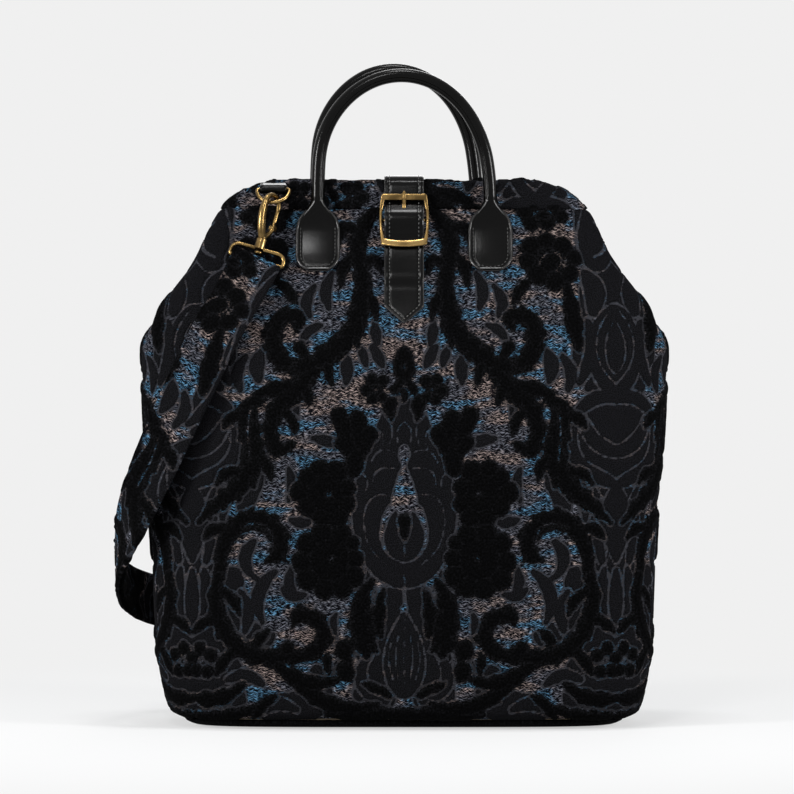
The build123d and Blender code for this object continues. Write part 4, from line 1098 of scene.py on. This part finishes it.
def buckle():
    """Cast frame with softened edges, its centre bar and its prong."""
    outer = closed_outline(
        BUCKLE_TOP, BUCKLE_BOTTOM + 1.6, middle_half=19.25, end_half=17.5, bow=1.6, corner=2.4, count=240
    )
    inner = closed_outline(
        BUCKLE_TOP - 5, BUCKLE_BOTTOM + 7, middle_half=16.95, end_half=15.2, bow=1.6, corner=1.6, count=240
    )
    spots = [
        (BUCKLE_BOTTOM + 3.5, -(float(reach(0, BUCKLE_BOTTOM + 3.5)) + CHAPE_LIFT + BUCKLE_LIFT)),
        (BUCKLE_HEIGHT, BAR_Y - 1.3),
        (BUCKLE_TOP - 2.5, -(float(reach(0, BUCKLE_TOP - 2.5)) + FLAT_LIFT + BUCKLE_LIFT)),
    ]
    arch = np.polyfit([z for z, _ in spots], [y for _, y in spots], 2)
    rings = []
    turn = turns(20)
    out, lift = squared(np.cos(turn), 0.55), squared(np.sin(turn), 0.55)
    for a, b in zip(outer, inner):
        middle, half = (a + b) / 2, (a - b) / 2
        x, z = middle[0] + half[0] * out, middle[1] + half[1] * out
        rings.append(np.column_stack((x, np.polyval(arch, z) + 1.6 * lift, z)))
    bar = tube([(x, BAR_Y, BUCKLE_HEIGHT) for x in (-17.6, -8, 8, 17.6)], 1.8, 16)
    thing = mesh_object("buckle_brass", *joined([skin(rings, looped=True), skin(bar)]), BRASS)
    dressed(thing, "bag", ["buckle_frame"])
    top_y = spots[2][1] - 3.0
    path = [
        (0, BAR_Y - 1.6, BUCKLE_HEIGHT + 0.2), (0, BAR_Y - 1.2, BUCKLE_HEIGHT + 6),
        (0, top_y + 1.2, BUCKLE_TOP - 8.5), (0, top_y - 0.2, BUCKLE_TOP - 4),
        (0, top_y + 0.2, BUCKLE_TOP + 1.2), (0, top_y + 0.8, BUCKLE_TOP + 2.2),
    ]
    path = spline(path, 30)
    wide = np.interp(np.linspace(0, 1, 30), (0, 0.5, 0.92, 1), (1.5, 1.7, 1.6, 0.4))
    thing = mesh_object("buckle_pin", *skin(tube(path, wide, 14, side=(1, 0, 0))), BRASS)
    dressed(thing, "bag", ["buckle_prong"])


buckle()


# Clasps


RING_BAR = np.array((-101.4, -15.29, 413.0))
RING_TILT = radians(42)
RING_DROP = 14.25
RING_TAB_HALF = 10.35
WIRE_IN_HOOK = 35.4
CLASP_LEAN = 15.5
REAR_CLASP_LEAN = -6.0
CLASP_PITCH = radians(14)
CLASP_TWIST = radians(52)
BAR_DROP = 13.2
HOOK_RADII = (
    (0, 0.14, 0.3, 0.44, 0.54, 0.64, 0.8, 0.97, 1),
    (2.9, 3.2, 3.2, 3.0, 2.5, 2.0, 1.8, 1.7, 0.7),
)
HOOK_STEM = (
    (-7.9, 2.6), (-7.7, 3.2), (-6.2, 3.2), (-6.0, 2.0), (4.1, 2.0), (4.2, 3.1), (5.6, 3.2), (6.6, 2.9),
    (7.6, 2.2), (8.4, 1.0),
)
BOW_SPOT = RING_BAR - RING_DROP * np.array((0, sin(RING_TILT), cos(RING_TILT)))


def clasp_site(lean):
    """Collar, axis and strap-bar direction of a clasp that hangs from the front ring."""
    lean = radians(lean)
    axis = np.array((cos(CLASP_PITCH) * sin(lean), sin(CLASP_PITCH), cos(CLASP_PITCH) * cos(lean)))
    bar_run = np.cross((0, 1, 0), axis)
    return BOW_SPOT - axis * WIRE_IN_HOOK, axis, bar_run / np.linalg.norm(bar_run)


def hook(name, lean, turned, body, node_name):
    """Cast hook, heavy and grooved on its closed side, on a turned stem with a forked lug."""
    half, low, high = 8.6, 19.1, 32.1
    lug = (half, low - half * sin(radians(28)) / 2)
    limb = spline(np.array(((-0.6, 5.6), (-3.4, 10.0), (-6.2, 16.5), (-8.1, 23.5), (-half, 30.0))), 34)
    crook = [(half * cos(a), high + half * sin(a)) for a in np.linspace(pi, 0, 32)]
    bow = np.array([*limb, *crook, (half, high - 1.2), (half, high - 2.0)])
    share = np.linspace(0, 1, len(bow))
    thick = np.interp(share, *HOOK_RADII)
    path = np.column_stack((bow[:, 0], np.zeros(len(bow)), bow[:, 1]))
    rings = tube(path, thick, 24, side=(0, 1, 0))
    turn = turns(24)
    dent = 0.16 * bell(np.abs(np.cos(turn)), 1, 0.06)
    swell = step_up(thick, 2.0, 2.6)
    rings = path[:, None] + (rings - path[:, None]) * (1 - dent[None, :, None] * swell[:, None, None])
    fork = spline(np.array(((0.8, 5.6), (4.4, 9.6), (7.2, 13.4), lug)), 16)
    fork = np.column_stack((fork[:, 0], np.zeros(len(fork)), fork[:, 1]))
    shells = [skin(rings), skin(tube(fork, np.linspace(2.8, 1.6, len(fork)), 18, side=(0, 1, 0)))]
    stem = [(0, 0, z) for z, _ in HOOK_STEM]
    shells.append(skin(tube(stem, [r for _, r in HOOK_STEM], 20, side=(1, 0, 0))))
    for depth in (-1.55, 1.55):
        cheek = [(lug[0], depth + d, lug[1]) for d in (-0.44, -0.36, 0.36, 0.44)]
        shells.append(skin(tube(cheek, (2.3, 2.75, 2.75, 2.3), 18, side=(1, 0, 0))))
    places, faces = joined(shells)
    collar, axis, run = clasp_site(lean)
    third = np.cross(axis, run)
    twisted = cos(CLASP_TWIST) * run + sin(CLASP_TWIST) * third
    places = collar + places @ np.array((twisted, np.cross(axis, twisted), axis))
    thing = mesh_object(name, places * HALF_TURN if turned else places, faces, BRASS)
    return dressed(thing, body, [node_name])


hook("front_hook_brass", CLASP_LEAN, False, "front_hook", "front_clasp_hook")
hook("rear_hook_brass", REAR_CLASP_LEAN, True, "rear_hook", "rear_clasp_hook")


def ring_tab(name, turned, node_name):
    """Strip of leather round the ring's bar with its tail sewn into the casing."""
    y, z = RING_BAR[1:]
    wrap = [(y + 2.6 * cos(a), z + 2.6 * sin(a)) for a in np.linspace(radians(80), radians(395), 40)]
    path = even(np.array([(-3.0, 417.6), (-8.0, 417.4), *wrap]), 0.5)
    run = unit(np.gradient(path, axis=0))
    rings = []
    across, on_face = both_faces(17, 17)
    lift = np.where(on_face, 1.0, -1.0) * (1 - 0.5 * np.maximum(np.abs(across) - 0.9, 0) / 0.1)
    for (py, pz), (ry, rz) in zip(path, run):
        rings.append(np.column_stack((RING_BAR[0] + RING_TAB_HALF * across, py - rz * lift, pz + ry * lift)))
    places, faces = skin(rings)
    thing = mesh_object(name, places * HALF_TURN if turned else places, faces, LEATHER)
    return dressed(thing, "bag", [node_name])


ring_tab("front_ring_leather", False, "front_ring_tab")
ring_tab("rear_ring_leather", True, "rear_ring_tab")


# Shoulder strap

STRAP_ROUTE_SHARES = (
    (-0.615, -0.535, 0.790), (-0.690, -0.685, 0.725), (-0.765, -0.775, 0.650), (-0.850, -0.815, 0.560),
    (-0.930, -0.800, 0.470), (-1.010, -0.690, 0.385), (-1.070, -0.400, 0.315), (-1.080, 0.050, 0.265),
    (-1.035, 0.530, 0.230), (-0.945, 0.930, 0.208), (-0.800, 1.190, 0.195), (-0.580, 1.310, 0.200),
    (-0.330, 1.300, 0.240), (-0.090, 1.240, 0.335), (0.150, 1.130, 0.475), (0.320, 0.930, 0.625),
    (0.420, 0.690, 0.745),
)


def outward(spot):
    """Direction square to the bag's surface near a place."""

    def depth(x, y, z):
        wide, deep, square = body_at(z)
        return abs(x / wide) ** square + abs(y / deep) ** square

    probe = 0.5 * np.eye(3)
    slope = np.array([float(depth(*(spot + p)) - depth(*(spot - p))) for p in probe])
    return slope / np.linalg.norm(slope)


def shoulder_strap():
    """Cloth strap from clasp to clasp, its edges turned under and its ends sewn round the bars."""
    collar, axis, front_run = clasp_site(CLASP_LEAN)
    rear_collar, rear_axis, rear_run = clasp_site(REAR_CLASP_LEAN)
    route = [np.array(row) * (BODY_WIDTH / 2, BODY_DEPTH / 2, BODY_HEIGHT) for row in STRAP_ROUTE_SHARES]
    route = np.array([collar - axis * BAR_DROP, *route, (rear_collar - rear_axis * BAR_DROP) * HALF_TURN])
    sides = []
    for i, spot in enumerate(route):
        run = route[min(i + 1, len(route) - 1)] - route[max(i - 1, 0)]
        sides.append(np.cross(outward(spot), run / np.linalg.norm(run)))
    sides[0], sides[-1] = front_run, -rear_run * HALF_TURN
    centre = spline(route, STRAP_STEPS)
    side = spline(np.array(sides), STRAP_STEPS, lengths(route))
    run = unit(np.gradient(centre, axis=0))
    ends = np.array((SLEEVE_RADIUS, 3.6, 3.0, 2.0, 1.0))[:, None]
    centre = np.concatenate((centre[0] - run[0] * ends, centre, centre[-1] + run[-1] * ends[::-1]))
    side = np.pad(side, ((5, 5), (0, 0)), mode="edge")
    run = np.pad(run, ((5, 5), (0, 0)), mode="edge")
    side = unit(side - run * (side * run).sum(1)[:, None])
    face = np.cross(run, side)
    if face[60].dot(outward(centre[60])) < 0:
        face = -face
    length = lengths(centre) - SLEEVE_RADIUS
    total = length[-1] - SLEEVE_RADIUS
    inward = np.minimum(length, total - length)
    sleeve = np.sqrt(np.maximum(SLEEVE_RADIUS**2 - np.minimum(inward, SLEEVE_RADIUS) ** 2, 0.05))
    fold = STRAP_THICKNESS / 2 * (inward > 0) + (1 - step_up(inward, 14, 20)) * (inward > 0)
    thick = np.maximum(sleeve, fold)
    across, on_face = both_faces(52, 22)
    inset = STRAP_WIDTH / 2 * (1 - np.abs(across))
    edge = np.sqrt(1 - (1 - np.minimum(inset / 1.6, 1)) ** 2)
    u = np.broadcast_to(across * STRAP_WIDTH / 2 + STRAP_FIGURE[0], (len(centre), len(across)))
    v = np.broadcast_to((STRAP_FIGURE[1] - length)[:, None], u.shape)
    velvet, loop = figure(u, v)
    sign = np.where(on_face, 1.0, -1.0)
    lift = sign * edge * (thick[:, None] + 0.6 * pile(velvet, loop) - 0.5 * bell(inset, 3.0, 0.9))
    lift = lift + 0.5 * np.sin(length / 23)[:, None] * step_up(inward, 20, 60)[:, None]
    sideways = (across * (STRAP_WIDTH / 2 + 0.8))[None, :, None]
    places, faces = skin(centre[:, None] + side[:, None] * sideways + face[:, None] * lift[..., None])
    u, v, velvet, loop = (np.concatenate((a.ravel(), a[0, :1], a[-1, :1])) for a in (u, v, velvet, loop))
    thing = mesh_object(
        "strap_cloth", places, faces, CARPET, np.stack((u, v), axis=1), {"velvet": velvet, "loop": loop}
    )
    return dressed(thing, "bag", ["shoulder_strap"])


shoulder_strap()


# Stitches


def stitch_tree():
    """Geometry nodes that lay short threads along lines."""
    tree = bpy.data.node_groups.new("stitches", "GeometryNodeTree")
    face = tree.interface
    face.new_socket("Lines", in_out="INPUT", socket_type="NodeSocketGeometry")
    for name in ("Spacing", "Length", "Thickness"):
        face.new_socket(name, in_out="INPUT", socket_type="NodeSocketFloat")
    face.new_socket("Thread", in_out="INPUT", socket_type="NodeSocketMaterial")
    face.new_socket("Stitches", in_out="OUTPUT", socket_type="NodeSocketGeometry")
    entry = tree.nodes.new("NodeGroupInput")
    lines, spacing, length, thick, thread = (Wire(tree, entry.outputs[i]) for i in range(5))
    curve = node(tree, "GeometryNodeMeshToCurve", lines)
    curve = node(tree, "GeometryNodeResampleCurve", named={"Curve": curve, "Length": spacing}, mode="LENGTH")
    bead = node(tree, "GeometryNodeMeshUVSphere", 8, 6, 0.5)
    along = node(tree, "GeometryNodeInputTangent")
    turn = node(tree, "FunctionNodeAlignRotationToVector", named={"Vector": along}, axis="Z")
    size = node(tree, "ShaderNodeCombineXYZ", thick, thick, length)
    named = {"Points": curve, "Instance": bead, "Rotation": turn, "Scale": size}
    rows = node(tree, "GeometryNodeInstanceOnPoints", named=named)
    rows = node(tree, "GeometryNodeRealizeInstances", rows)
    rows = node(tree, "GeometryNodeSetShadeSmooth", rows)
    rows = node(tree, "GeometryNodeSetMaterial", named={"Geometry": rows, "Material": thread})
    node(tree, "NodeGroupOutput", rows)
    return tree


STITCHES = stitch_tree()


def sewn(name, lines, spacing, length, thick, thread):
    """Row of stitches along lines, as a plain mesh on the bag."""
    mesh = bpy.data.meshes.new(name + "_lines")
    places, edges = [], []
    for line in lines:
        start = len(places)
        places += (np.asarray(line) * MM).tolist()
        edges += [(i, i + 1) for i in range(start, len(places) - 1)]
    mesh.from_pydata(places, edges, [])
    guide = placed(name + "_lines", mesh)
    modifier = guide.modifiers.new("stitches", "NODES")
    modifier.node_group = STITCHES
    given = {"Spacing": spacing * MM, "Length": length * MM, "Thickness": thick * MM, "Thread": thread}
    for item in STITCHES.interface.items_tree:
        if item.in_out == "INPUT" and item.name in given:
            modifier[item.identifier] = given[item.name]
    graph = bpy.context.evaluated_depsgraph_get()
    made = bpy.data.meshes.new_from_object(guide.evaluated_get(graph))
    bpy.data.objects.remove(guide)
    return dressed(placed(name, made), "bag", [])


sewn("handle_stitches", front_tab_lines + rear_tab_lines, 3.0, 1.9, 0.8, THREAD)
sewn("closure_stitches", closure_lines, 3.2, 1.7, 0.75, PALE_THREAD)

# CAD nodes that keep their solids

FINISHES = (
    (LEATHER, ("buckle_chape", "left_low_ring_tab", "right_low_ring_tab")),
    (BRASS, (
        "front_d_ring", "rear_d_ring", "left_low_d_ring", "right_low_d_ring", "front_clasp_base", "rear_clasp_base",
        "front_clasp_gate", "rear_clasp_gate", "front_clasp_gate_pin", "rear_clasp_gate_pin",
    )),
    (STEEL, ("front_frame", "rear_frame", "left_hinge_rivet", "right_hinge_rivet")),
    (LINING, ("lining",)),
    (BOARD, ("base_board",)),
)
for surface, names in FINISHES:
    for name in names:
        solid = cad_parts[name]
        solid.data.materials.clear()
        solid.data.materials.append(surface)

# Floor, light and camera

BACKGROUND = grey(0.871)
FLOOR_HALF = 6
FLOOR_DROP = 0.0015


def shown_to_camera(tree):
    """1 for rays that show the background: from the camera, a reflection or through glass."""
    path = tree.nodes.new("ShaderNodeLightPath")
    total = Wire(tree, path.outputs["Is Camera Ray"]) + Wire(tree, path.outputs["Is Glossy Ray"])
    total = total + Wire(tree, path.outputs["Is Transmission Ray"])
    return node(tree, "ShaderNodeMath", total, 1.0, operation="MINIMUM")


def studio():
    """Pale floor, soft lamps and an even pale background."""
    floor_mesh = bpy.data.meshes.new("floor")
    corners = [(x * FLOOR_HALF, y * FLOOR_HALF, 0) for x, y in ((-1, -1), (1, -1), (1, 1), (-1, 1))]
    floor_mesh.from_pydata(corners, [], [(0, 1, 2, 3)])
    floor = placed("floor", floor_mesh)
    floor.location.z = -FLOOR_DROP
    material, tree = new_material("pale_floor")
    matt = node(tree, "ShaderNodeBsdfDiffuse", grey(0.8))
    glow = node(tree, "ShaderNodeEmission", BACKGROUND, 1.0)
    place = node(tree, "ShaderNodeTexCoord", out=3)
    away = node(tree, "ShaderNodeVectorMath", place, (0.0, 0.0, 0.0), out=1, operation="DISTANCE")
    fade = curve_of(tree, away, 0.2, 0.75, 0.6, 1.0)
    both = node(tree, "ShaderNodeMixShader", shown_to_camera(tree) * fade, matt, glow)
    node(tree, "ShaderNodeOutputMaterial", both)
    floor_mesh.materials.append(material)
    world = bpy.data.worlds.new("studio")
    world.use_nodes = True
    tree = world.node_tree
    tree.nodes.clear()
    dim = node(tree, "ShaderNodeBackground", (0.9, 0.95, 1.0, 1), 0.35)
    pale = node(tree, "ShaderNodeBackground", BACKGROUND, 1.0)
    both = node(tree, "ShaderNodeMixShader", shown_to_camera(tree), dim, pale)
    node(tree, "ShaderNodeOutputWorld", both)
    bpy.context.scene.world = world
    lamps = (
        ("left_softbox", (-1.35, -0.85, 0.6), 24.0, (0.26, 0.5)),
        ("right_softbox", (1.4, -0.75, 0.6), 21.0, (0.26, 0.5)),
        ("front", (-0.4, -1.7, 1.8), 11.0, (0.4, 0.2)),
        ("top", (0.0, -0.25, 1.9), 11.0, (0.4, 0.2)),
        ("back", (0.3, 1.8, 1.2), 10.0, (1.0, 1.0)),
    )
    aim = Vector((0, 0, 0.25))
    for name, place, power, size in lamps:
        data = bpy.data.lights.new(name, "AREA")
        data.energy, data.shape = power, "RECTANGLE"
        data.size, data.size_y = size
        lamp = placed(name, data)
        lamp.location = place
        lamp.rotation_euler = (aim - Vector(place)).to_track_quat("-Z", "Y").to_euler()


def photograph():
    """Level camera in front of the bag."""
    data = bpy.data.cameras.new("camera")
    distance, frame_width = 2.6, 0.6193
    across, height = -0.0055, 0.2519
    data.sensor_width = 36
    data.lens = data.sensor_width * distance / frame_width
    camera = placed("camera", data)
    camera.location = (across, -distance, height)
    camera.rotation_euler = (radians(90), 0, 0)
    bpy.context.scene.camera = camera


studio()
photograph()
bpy.context.scene.view_settings.view_transform = "Standard"
